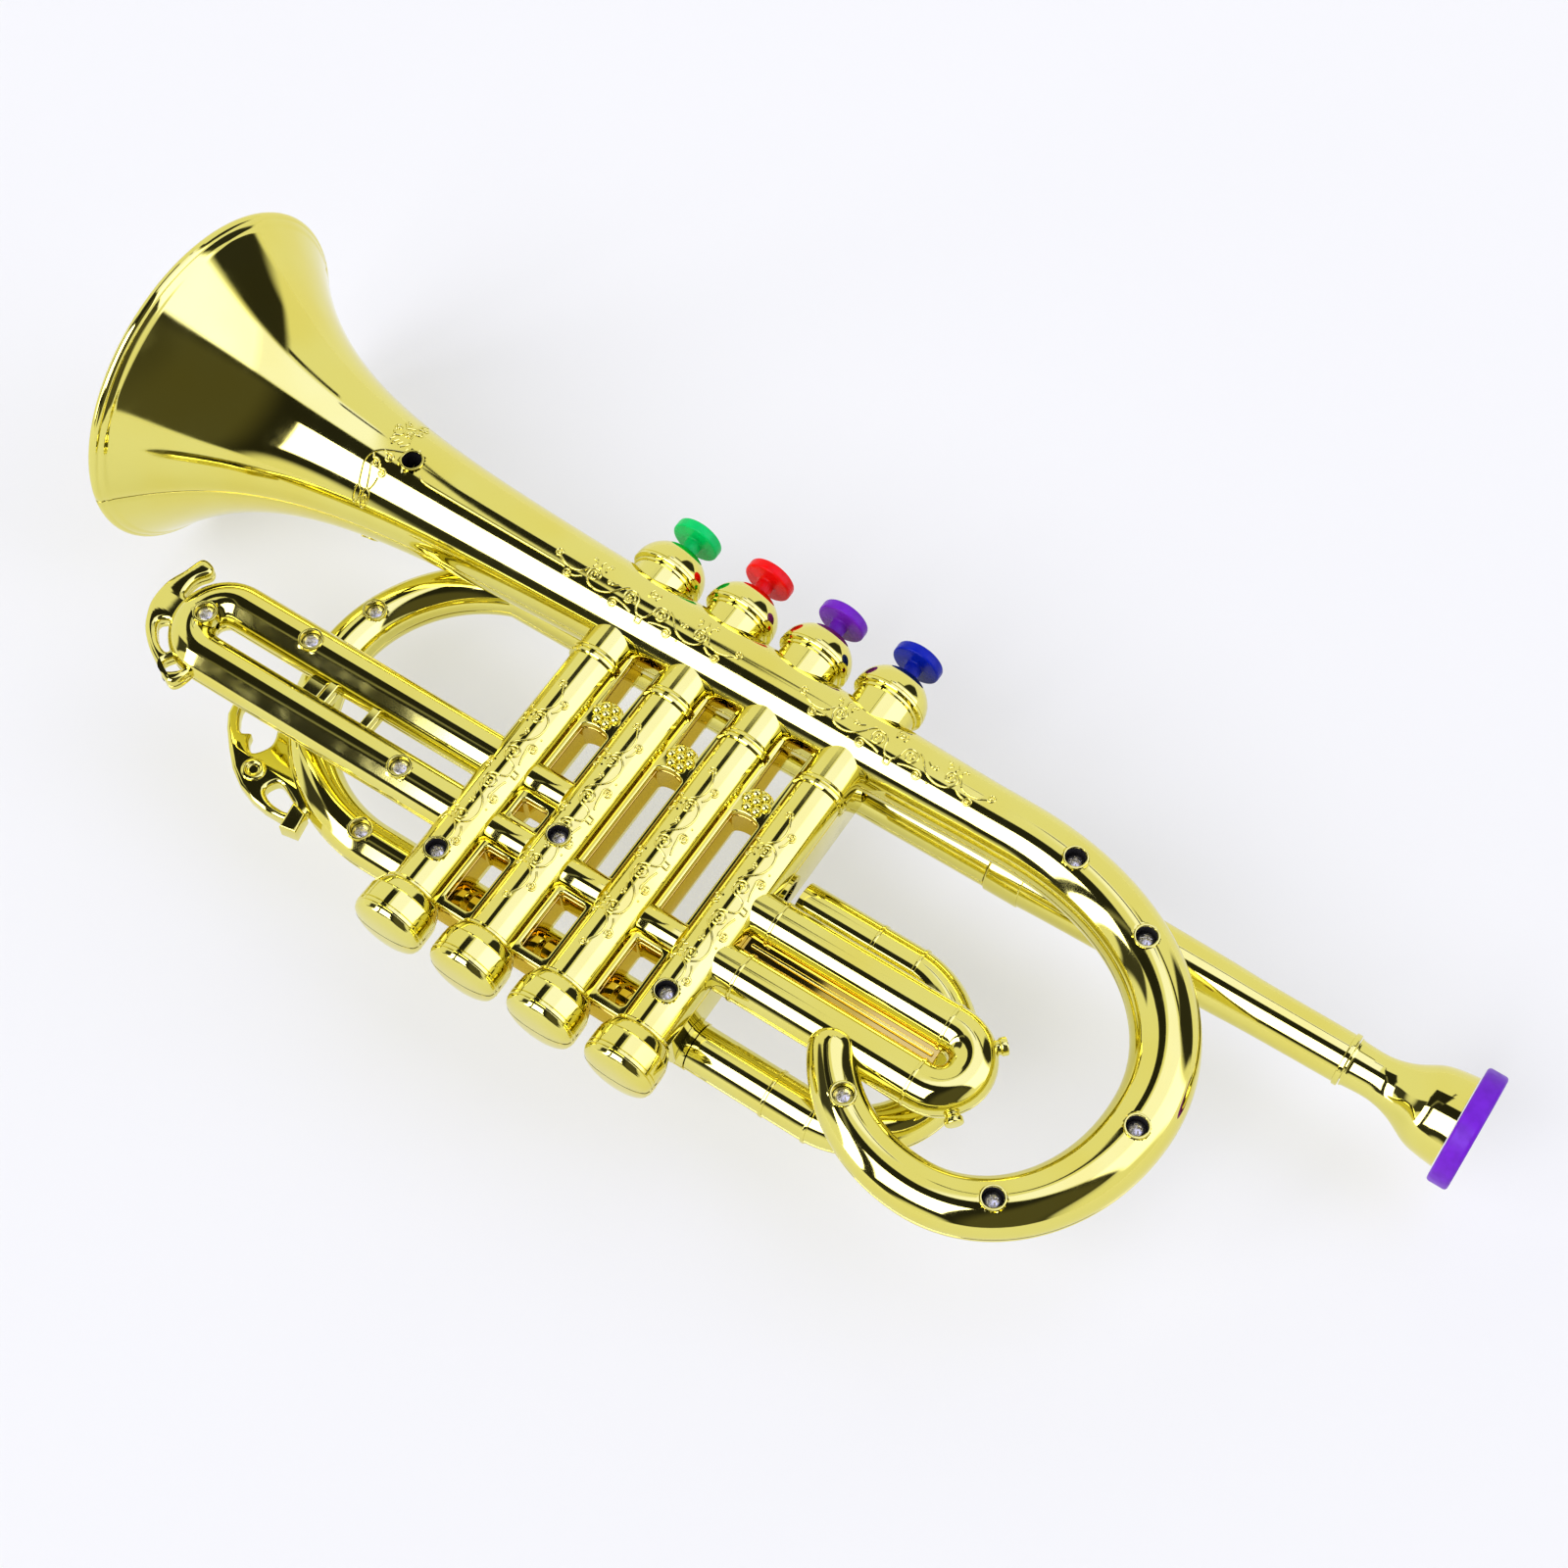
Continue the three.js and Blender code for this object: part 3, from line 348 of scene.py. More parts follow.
class Surface:
    """Collects grids of points, in millimetres, and turns them into one piece."""

    def __init__(self) -> None:
        """Starts with no points."""
        self.points: list[Array] = []
        self.faces: list[list[int]] = []
        self.count = 0

    def grid(self, points: Array, closed: bool = True) -> None:
        """Adds a grid of quads: each point is joined to the next in its row and in its column.

        Args:
            points: rows by columns by 3.
            closed: the last column joins the first.
        """
        rows, columns = points.shape[:2]
        a = np.arange(rows - 1)[:, None]
        b = np.arange(columns if closed else columns - 1)[None, :]
        d = (b + 1) % columns
        corners = [a * columns + b, a * columns + d, (a + 1) * columns + d, (a + 1) * columns + b]
        self.mesh(points.reshape(-1, 3), np.stack(corners, -1).reshape(-1, 4))

    def cap(self, ring: Array) -> None:
        """Closes a ring of points with triangles to its middle.

        Args:
            ring: the points in order.
        """
        n = len(ring)
        k = np.arange(n)
        self.mesh(np.vstack([ring, ring.mean(0)]), np.stack([k, (k + 1) % n, np.full(n, n)], -1))

    def mesh(self, points: Array, faces: Array) -> None:
        """Adds points with the faces between them.

        Args:
            points: the points.
            faces: for each face the numbers of its points.
        """
        self.faces += (np.asarray(faces) + self.count).tolist()
        self.points.append(points)
        self.count += len(points)

    def piece(self, name: str, material: bpy.types.Material, sharp: float) -> bpy.types.Object:
        """Makes the mesh, merges its doubles and points its faces outwards.

        Args:
            name: the piece's name.
            material: its finish.
            sharp: edges that turn by more degrees than this stay sharp.

        Returns:
            The new object, at the origin.
        """
        mesh = bpy.data.meshes.new(name)
        mesh.from_pydata(((np.vstack(self.points) + SHIFT) / METRE).tolist(), [], self.faces)
        work = bmesh.new()
        work.from_mesh(mesh)
        bmesh.ops.remove_doubles(work, verts=work.verts, dist=SAME_POINT)
        bmesh.ops.recalc_face_normals(work, faces=work.faces)
        work.to_mesh(mesh)
        work.free()
        mesh.shade_smooth()
        mesh.set_sharp_from_angle(angle=math.radians(sharp))
        mesh.materials.append(material)
        piece = bpy.data.objects.new(name, mesh)
        bpy.context.scene.collection.objects.link(piece)
        return piece


def turned(profile: Sequence[Point], origin: Sequence[float], axis: str, sides: int = 64,
           loop: bool = True) -> Array:
    """Turns a profile of (place along the axis, radius) about an axis.

    A point at place p, radius r and angle a lies at origin + p along the axis + r (cos a, sin a) across it.

    Args:
        profile: places with radii.
        origin: a point on the axis.
        axis: "x", "y" or "z".
        sides: number of steps round.
        loop: the profile's first point comes again at the end.

    Returns:
        A grid of points, one row for each profile point.
    """
    places = np.array(list(profile) + ([profile[0]] if loop else []), float)
    angle = np.linspace(0.0, 2.0 * np.pi, sides, endpoint=False)
    along = np.repeat(places[:, :1], sides, 1)
    first, second = places[:, 1:] * np.cos(angle), places[:, 1:] * np.sin(angle)
    order = {"x": (along, first, second), "y": (second, along, first), "z": (first, second, along)}[axis]
    return np.stack(order, -1) + np.array(origin, float)


def rounded(corners: Sequence[Point], radius: float, steps: int = 3) -> list[Point]:
    """Rounds the corners of a closed outline.

    Each corner becomes points on the curve (1-t)^2 a + 2t(1-t) corner + t^2 b, with a and b the radius away
    from it along its two edges, or a third of a short edge. A corner at 0 in its second value, on the axis
    of a turned profile, stays as it is.

    Args:
        corners: the outline's corners in order.
        radius: how far from the corner the rounding starts.
        steps: pieces in each rounding.

    Returns:
        The rounded outline.
    """
    result: list[Point] = []
    for i, corner in enumerate(corners):
        here, last, following = (np.array(corners[j % len(corners)], float) for j in (i, i - 1, i + 1))
        if here[1] == 0.0:
            result.append(tuple(here))
            continue
        back, ahead = last - here, following - here
        first = here + back * min(radius / max(np.linalg.norm(back), 1e-9), 0.33)
        second = here + ahead * min(radius / max(np.linalg.norm(ahead), 1e-9), 0.33)
        for t in np.linspace(0.0, 1.0, steps + 1):
            result.append(tuple((1 - t) ** 2 * first + 2 * t * (1 - t) * here + t * t * second))
    return result


def smooth_line(points: Sequence[Sequence[float]], steps: int = 6, loop: bool = False) -> Array:
    """A smooth line through points.

    Between two points b and c, with a before and d after, it runs along half of
    2b + (c-a)t + (2a-5b+4c-d)t^2 + (3b-a-3c+d)t^3 as t goes from 0 to 1.

    Args:
        points: the points in order.
        steps: pieces between two points.
        loop: the line comes back to its first point.

    Returns:
        The points of the line.
    """
    known = np.array(points, float)
    ends = (known[-1:], known[:2]) if loop else (2 * known[:1] - known[1:2], 2 * known[-1:] - known[-2:-1])
    full = np.vstack([ends[0], known, ends[1]])
    a, b, c, d = (full[i: len(full) - 3 + i, None] for i in range(4))
    t = np.linspace(0.0, 1.0, steps, endpoint=False)[None, :, None]
    line = 0.5 * (2 * b + (c - a) * t + (2 * a - 5 * b + 4 * c - d) * t**2 + (3 * b - a - 3 * c + d) * t**3)
    line = line.reshape(-1, known.shape[1])
    return line if loop else np.vstack([line, known[-1:]])


@dataclass
class Run:
    """A line of centres with the outer radius at each, to carry a shell along, and the seam's height."""

    centres: Array
    outer: Array
    wall: Array | None = None
    plane: float = 0.0

    def refined(self, coarse: float, fine: float, near: Sequence[Point] = (), reach: float = 4.8) -> "Run":
        """Spaces the centres anew: evenly along the line, and closer near some places.

        The spacing is coarse, or fine within reach of a place. The line is read at even steps of the sum of
        its step lengths over that spacing, where a step's length counts the change of radius too.

        Args:
            coarse: usual distance between centres.
            fine: distance near the places.
            near: places, as x and y.
            reach: how far from a place the spacing is fine.

        Returns:
            The new run.
        """
        spacing = np.full(len(self.centres), coarse)
        for x, y in near:
            spacing[np.hypot(self.centres[:, 0] - x, self.centres[:, 1] - y) < reach] = fine
        step = np.hypot(np.linalg.norm(np.diff(self.centres, axis=0), axis=1), np.diff(self.outer))
        total = np.concatenate([[0.0], np.cumsum(step / spacing[1:])])
        at = np.linspace(0.0, total[-1], int(math.ceil(total[-1])) + 1)
        centres = np.stack([np.interp(at, total, column) for column in self.centres.T], -1)
        wall = None if self.wall is None else np.interp(at, total, self.wall)
        return Run(centres, np.interp(at, total, self.outer), wall, self.plane)

    def across(self) -> Array:
        """The level direction across the run, at every centre.

        Returns:
            A direction for each centre.
        """
        along = np.gradient(self.centres, axis=0)
        along /= np.linalg.norm(along[:, :2], axis=1, keepdims=True)
        return np.stack([-along[:, 1], along[:, 0], np.zeros(len(along))], -1)


@dataclass
class HalfShell:
    """One half of a tube that is moulded in two halves, with its flat seam, its wall and closed ends."""

    run: Run
    side: Side
    wells: Sequence[tuple[float, float, float]] = ()
    steps: int = 44
    lip: float = 0.26
    well: float = 3.0
    slope: float = 0.25
    thinnest: float = 0.3
    tall: bool = False

    def build(self, surface: Surface) -> None:
        """Adds the half shell to a surface.

        The section at each centre is a loop. Its outer points lie at angles a from the seam on one side to
        the seam on the other, at across * r cos a + up * r sin a, with the corners at the seam eased. The
        inner points run back the same way on the inner radius, or straight along the seam in a solid half.
        Points within the well's radius of a screw are lowered by that screw's depth.

        Args:
            surface: where the points go.
        """
        run, sign = self.run, float(self.side.value)
        seat = sign * (run.plane - run.centres[:, 2]) + SEAM
        outer = self._section(run.outer, seat, self.lip)
        sections = [outer]
        if run.wall is not None:
            bore = np.maximum(run.outer - run.wall, self.thinnest)
            sections.append(self._section(bore, seat, 0.0)[:, ::-1])
        flat = np.concatenate(sections, 1)
        places = run.centres[:, None] + run.across()[:, None] * flat[..., :1]
        places[..., 2] += sign * flat[..., 1]
        for x, y, depth in self.wells:
            away = np.hypot(places[..., 0] - x, places[..., 1] - y)
            outside = smooth_step(away, self.well - self.slope, self.well + self.slope)
            places[..., 2] -= sign * depth * (1.0 - outside)
        surface.grid(places)
        for end in (places[0], places[-1]):
            if run.wall is None:
                surface.cap(end)
            else:
                count = outer.shape[1]
                surface.grid(np.stack([end[:count], end[count:][::-1]]), closed=False)

    def _section(self, radius: Array, seat: Array, lip: float) -> Array:
        """Points from seam to seam, as (across, up), a row for each radius; a tall one has straight sides.

        Args:
            radius: outer radius of each row.
            seat: height of each row's edge.
            lip: height of the step at the edge.

        Returns:
            An array of rows, points and (across, up).
        """
        low = np.clip(seat, -0.93 * radius, 0.93 * radius)
        high = np.clip(seat + lip, -0.95 * radius, 0.95 * radius)
        start = np.zeros_like(radius) if self.tall else np.arcsin(high / radius)
        share = np.linspace(0.0, 1.0, self.steps)
        angle = start[:, None] + (np.pi - 2.0 * start[:, None]) * share
        arc = radius[:, None, None] * np.stack([np.cos(angle), np.sin(angle)], -1)
        edge = radius * np.cos(start)
        inset = np.minimum(lip, 0.3 * edge)
        if self.tall:
            low, high = seat, seat + lip
        right = np.stack([
            np.stack([edge - inset, low], -1),
            np.stack([edge - 0.3 * inset, low + 0.3 * (high - low)], -1),
            np.stack([edge, high], -1),
        ], 1)
        return np.concatenate([right, arc, right[:, ::-1] * np.array([-1.0, 1.0])], 1)


def both_halves(run: Run, front: Surface, back: Surface, spots: Sequence[Spot] = (), steps: int = 44) -> None:
    """Adds the front half of a run to one surface and its back half to another.

    Args:
        run: the centres and radii.
        front: the surface of the front halves.
        back: the surface of the back halves.
        spots: the screws, which sink into the front half.
        steps: points round each half.
    """
    HalfShell(run, Side.FRONT, well_places(spots), steps).build(front)
    HalfShell(run, Side.BACK, steps=steps).build(back)


@dataclass
class Bend:
    """A U: two level legs that a half circle joins."""

    open_x: float
    turn: float
    axis: float
    spread: float
    radius: float
    plane: float = 0.0

    def run(self, near: Sequence[Point] = ()) -> Run:
        """The run in along the +Y leg, round the half circle and back along the other leg.

        Args:
            near: places that need close rows.

        Returns:
            The run, with its wall and seam.
        """
        side = math.copysign(1.0, self.turn - self.open_x)
        leg = np.linspace(self.open_x, self.turn, 800)
        angle = np.linspace(0.0, np.pi, 600)[1:-1]
        x = np.concatenate([leg, self.turn + side * self.spread * np.sin(angle), leg[::-1]])
        y = self.axis + np.concatenate([0 * leg + self.spread, self.spread * np.cos(angle),
                                        0 * leg - self.spread])
        centres = np.stack([x, y, np.full_like(x, self.plane)], -1)
        outer = np.full(len(x), self.radius)
        return Run(centres, outer, np.full(len(x), WALL), self.plane).refined(1.3, FINE, near)


def plate(surface: Surface, outline: Array, holes: Sequence[Array], back: float, front: float,
          ease: float, rear: float | None = None) -> None:
    """Adds a flat plate with windows, whose edges are eased.

    The side rows are the loops moved inwards by an inset e(1 - sin a) at a height that goes in by
    e(1 - cos a), with a from 0 to a right angle, at the back and again at the front.

    Args:
        surface: where the points go.
        outline: the plate's corners, as x and y.
        holes: the corners of each window.
        back: height of its back.
        front: height of its front.
        ease: radius of the eased front edges, or of all when rear isn't given.
        rear: radius of the eased back edges.
    """
    turn = np.linspace(0.0, np.pi / 2.0, 6)
    inset, rise = 1.0 - np.sin(turn), 1.0 - np.cos(turn)
    rear = ease if rear is None else rear
    rows = [(i * rear, back + r * rear) for i, r in zip(inset, rise)]
    rows += [(i * ease, front - r * ease) for i, r in zip(inset, rise)][::-1]
    faces_at: dict[float, list[Array]] = {rows[0][1]: [], rows[-1][1]: []}
    for number, loop in enumerate([outline, *holes]):
        loop = np.asarray(loop, float)
        following = np.roll(loop, -1, 0)
        area = np.sum(loop[:, 0] * following[:, 1] - following[:, 0] * loop[:, 1])
        if (area > 0) == (number > 0):
            loop = loop[::-1]
        ahead = np.roll(loop, -1, 0) - loop
        ahead /= np.linalg.norm(ahead, axis=1, keepdims=True)
        behind = np.roll(ahead, 1, 0)
        out = np.stack([ahead[:, 1] + behind[:, 1], -ahead[:, 0] - behind[:, 0]], -1)
        out /= np.maximum(np.sum(out * out, 1, keepdims=True) / 2.0, 0.6)
        wall = [np.column_stack([loop - out * inset, np.full(len(loop), z)]) for inset, z in rows]
        surface.grid(np.stack(wall))
        faces_at[rows[0][1]].append(wall[0])
        faces_at[rows[-1][1]].append(wall[-1])
    for loops in faces_at.values():
        triangles = tessellate_polygon([[Vector(p) for p in loop] for loop in loops])
        surface.mesh(np.vstack(loops), np.array(triangles))


def rectangle(left: float, right: float, foot: float, top: float, radius: float) -> Array:
    """The outline of a rectangle with rounded corners.

    Args:
        left: least across.
        right: most across.
        foot: least up.
        top: most up.
        radius: of the corners.

    Returns:
        The outline's points in order.
    """
    centres = np.array([(right - radius, top - radius), (left + radius, top - radius),
                        (left + radius, foot + radius), (right - radius, foot + radius)])
    angle = np.arange(4)[:, None] * np.pi / 2 + np.linspace(0.0, np.pi / 2, 6)
    return (centres[:, None] + radius * np.stack([np.cos(angle), np.sin(angle)], -1)).reshape(-1, 2)


def ball(centre: Sequence[float], radius: float, sides: int = 20) -> Array:
    """A ball as a grid: rings at heights r cos t with radii r sin t."""
    t = np.linspace(0.02, np.pi - 0.02, sides // 2)
    return turned(list(zip(radius * np.cos(t), radius * np.sin(t))), centre, "z", sides, loop=False)


def coil(x: float, radius: float, low: float, high: float, turns: float, wire: float = 0.4,
         rows: int = 26, sides: int = 8) -> Array:
    """A round wire wound about a line along Y.

    The wire's middle at a share t of its length is at an angle of t times the turns and at a height that
    rises evenly with t; a section is a circle on the outward and the upward direction there.

    Args:
        x: place of the line.
        radius: from the line to the wire's middle.
        low: height of the wire's middle at the foot.
        high: the same at the top.
        turns: how often it goes round.
        wire: the wire's own radius.
        rows: rows of points in a turn.
        sides: points round the wire.

    Returns:
        Rows along the wire by points round it by 3.
    """
    share = np.linspace(0.0, 1.0, int(turns * rows))[:, None]
    round_wire = np.linspace(0.0, 2 * np.pi, sides, endpoint=False)[None, :]
    angle = 2 * np.pi * turns * share
    reach = radius + wire * np.cos(round_wire)
    return np.stack([x + reach * np.cos(angle), low + (high - low) * share + wire * np.sin(round_wire),
                     reach * np.sin(angle)], -1)


def well_places(spots: Sequence[Spot]) -> list[tuple[float, float, float]]:
    """Where shells are lowered for screws, as x, y and depth: a little more than the well's floor."""
    return [(x, y, sink + FLOOR + UNDER_FLOOR) for x, y, _, sink in spots]


def add_boss(surface: Surface, wells: Surface, spot: Spot, depth: float = 3.2) -> None:
    """Adds the raised ring round a screw, and the well that the head sits in.

    Args:
        surface: where the ring's points go.
        wells: where the well's points go.
        spot: place of the screw, height of the surface there and how deep the head sits below it.
        depth: how far the ring goes down beside the well.
    """
    x, y, top, sink = spot
    floor = -sink - FLOOR
    ring = rounded([(-depth, WELL), (-depth, BOSS), (BOSS_RISE, BOSS), (BOSS_RISE, WELL)], 0.22)
    cup = [(-0.1, WELL), (floor + 0.4, WELL - 0.1), (floor + 0.1, WELL - 0.3), (floor, 0.0),
           (floor - 0.1, 0.0), (floor - 0.1, WELL + 0.1), (-0.1, WELL + 0.1)]
    for target, profile in ((surface, ring), (wells, cup)):
        target.grid(turned([(top + p, r) for p, r in profile], (x, y, 0.0), "z", 44))


def placed(shares: Sequence[Point], corner: Point, size: float) -> Array:
    """Turns a drawing in shares of a size into places from a corner."""
    return np.array(corner) + np.array(shares, float) * size


def pierced(windows: Sequence[Points], corner: Point, size: float) -> list[Array]:
    """The smooth outlines of windows that are drawn in shares of a size from a corner."""
    return [smooth_line(placed(shares, corner, size), 4, loop=True) for shares in windows]


# Sub-assemblies


@dataclass
class Assembly:
    """What every sub-assembly shares: the finishes, and how a surface becomes a piece of the trumpet."""

    finishes: Finishes

    def show(self, surface: Surface, name: str, nodes: Sequence[str] = (), slot: str = "plated",
             body: str = "frame", sharp: float = 34.0, finish: str = "") -> bpy.types.Object:
        """Makes a piece from a surface, gives it its finish, hides the solids that it stands for and attaches
        it to its body.

        Args:
            surface: the points and faces.
            name: the piece's name.
            nodes: solids that it replaces.
            slot: the record's material slot.
            body: body that it moves with.
            sharp: edges that turn by more degrees than this stay sharp.
            finish: another finish than the slot's own.

        Returns:
            The piece.
        """
        piece = surface.piece(name, self.finishes.by_slot[finish or slot], sharp)
        if nodes:
            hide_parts(*nodes)
        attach(piece, body)
        LOG.info("%s: %d faces", name, len(piece.data.polygons))
        return piece

    def show_halves(self, front: Surface, back: Surface, name: str, node: str) -> None:
        """Makes the two pieces of a shell, which stand for the two solids of a node's name."""
        self.show(front, f"{name}_front", [f"{node}_front"])
        self.show(back, f"{name}_back", [f"{node}_back"])

    def show_bosses(self, spots: Sequence[Spot], name: str) -> None:
        """Makes the rings and wells round screws; the wells of deep ones are a piece of their own in dark
        plastic, painted shade.

        Args:
            spots: the screws.
            name: first words of the pieces' names.
        """
        rings, wells = Surface(), Surface()
        for spot in spots:
            add_boss(rings, wells if spot[3] > SHADED_WELL_SINK else rings, spot)
        self.show(rings, f"{name}_bosses")
        # painted shade: the wells of deep screws are dark plastic that stands in for the shadow in the hole
        if wells.count:
            self.show(wells, f"{name}_shade_wells", slot="block_plastic")


@dataclass
class Brasswork(Assembly):
    """Bell, tube and bow in two half shells."""

    bell_radius: float = 50.0
    rim: float = 1.6
    mouth: float = 46.0
    tube_end: float = 252.0
    at_bell: float = 15.8
    at_bow: float = 9.3
    decay: float = 29.0
    power: float = 1.1
    reach: float = 75.2
    drop: float = 94.0
    rise: float = 3.5
    nose: float = 4.5
    neck_screw: float = 72.0
    flare_start: float = 1.9
    lip_step: float = 0.3
    lip_end: Point = (2.7, 3.1)
    bow_radii: tuple[float, ...] = (9.3, 8.7, 7.4, 5.8)
    curves: tuple[Points, ...] = (
        ((0.133, 0), (0.665, 0), (1, -0.234), (1, -0.521)),
        ((1, -0.521), (1, -0.798), (0.771, -1), (0.505, -1)),
        ((0.505, -1), (0.239, -1), (0.066, -0.872), (0.013, -0.761)),
    )
    screw_shares: Points = ((0.367, -0.016), (0.707, -0.112), (1.008, -0.581), (0.749, -0.939),
                            (0.169, -0.911))
    sinks: tuple[float, ...] = (7.0, 2.4, 2.0, 1.8, 1.8, 0.9)

    def radius(self, x: Array) -> Array:
        """Outer radius at x: a straight taper plus a flare that dies away as exp(-(x/decay)^power).

        Args:
            x: places along the tube.

        Returns:
            The radius at each place.
        """
        taper = self.at_bell + (self.at_bow - self.at_bell) * x / self.tube_end
        flare = np.exp(-((np.maximum(x, 0.0) / self.decay) ** self.power))
        return taper + (self.bell_radius - self.at_bell) * flare

    def bow(self) -> tuple[Array, Array]:
        """Centres and radii along the bow.

        Three joined cubic curves carry the centres, the radius goes evenly between its four values, the tip
        rises with the square of its share, and its nose is a quarter ellipse.

        Returns:
            The centres, and the radius at each.
        """
        t = np.linspace(0.0, 1.0, 700)[:, None]
        centres, radii = [], []
        for i, shares in enumerate(self.curves):
            a, b, c, d = (np.array([self.tube_end + x * self.reach, y * self.drop, 0.0]) for x, y in shares)
            line = (1 - t) ** 3 * a + 3 * t * (1 - t) ** 2 * b + 3 * t * t * (1 - t) * c + t**3 * d
            if i == len(self.curves) - 1:
                line[:, 2] = self.rise * t[:, 0] ** 2
            centres.append(line[1:])
            radii.append((self.bow_radii[i] + (self.bow_radii[i + 1] - self.bow_radii[i]) * t[:, 0])[1:])
        path, size = np.vstack(centres), np.concatenate(radii)
        left = np.linalg.norm(np.diff(path, axis=0), axis=1)[::-1].cumsum()[::-1]
        share = np.clip(1.0 - np.append(left, 0.0) / self.nose, 0.0, 0.985)
        return path, size * np.sqrt(1.0 - share**2)

    def screws(self) -> list[Spot]:
        """Place of each screw, the height of the surface there and how deep the head sits.

        Returns:
            For each screw its place, the height of the surface there and how deep its head sits.
        """
        path, size = self.bow()
        spots = [(self.neck_screw, 0.0, float(self.radius(np.array(self.neck_screw))), self.sinks[0])]
        for (x, y), sink in zip(self.screw_shares, self.sinks[1:]):
            place = np.array([self.tube_end + x * self.reach, y * self.drop])
            nearest = np.argmin(np.hypot(*(path[:, :2] - place).T))
            spots.append((place[0], place[1], float(size[nearest] + path[nearest, 2]), sink))
        return spots

    def run(self) -> Run:
        """The whole run: the rim's bead, the step behind it, the flare, the tube and the bow.

        Returns:
            The run, with its wall and seam.
        """
        angle = np.linspace(-np.pi / 2, np.pi * 0.42, 60)
        x = np.concatenate([self.rim * np.sin(angle), np.linspace(self.flare_start, self.tube_end, 4000)])
        bead = self.bell_radius - self.rim + self.rim * np.cos(angle)
        flare = x[len(angle):]
        lip = self.lip_step * (1.0 - smooth_step(flare, *self.lip_end))
        outer = np.concatenate([bead, self.radius(flare) + lip])
        slope = self.radius(x + 0.5) - self.radius(x - 0.5)
        bore = np.minimum(self.radius(x) - WALL * np.hypot(1.0, slope), self.mouth)
        path, size = self.bow()
        centres = np.vstack([np.stack([x, 0 * x, 0 * x], -1), path])
        wall = np.concatenate([outer - bore, np.full(len(size), WALL)])
        near = [(0.0, 0.0), *((x, y) for x, y, *_ in self.screws())]
        return Run(centres, np.concatenate([outer, size]), wall).refined(1.25, FINE, near)

    def build(self) -> None:
        """Builds both shells and the bosses of the screws."""
        front, back = Surface(), Surface()
        both_halves(self.run(), front, back, self.screws(), steps=56)
        self.show_halves(front, back, "tube_shell", "bell_tube")
        self.show_bosses(self.screws(), "tube")


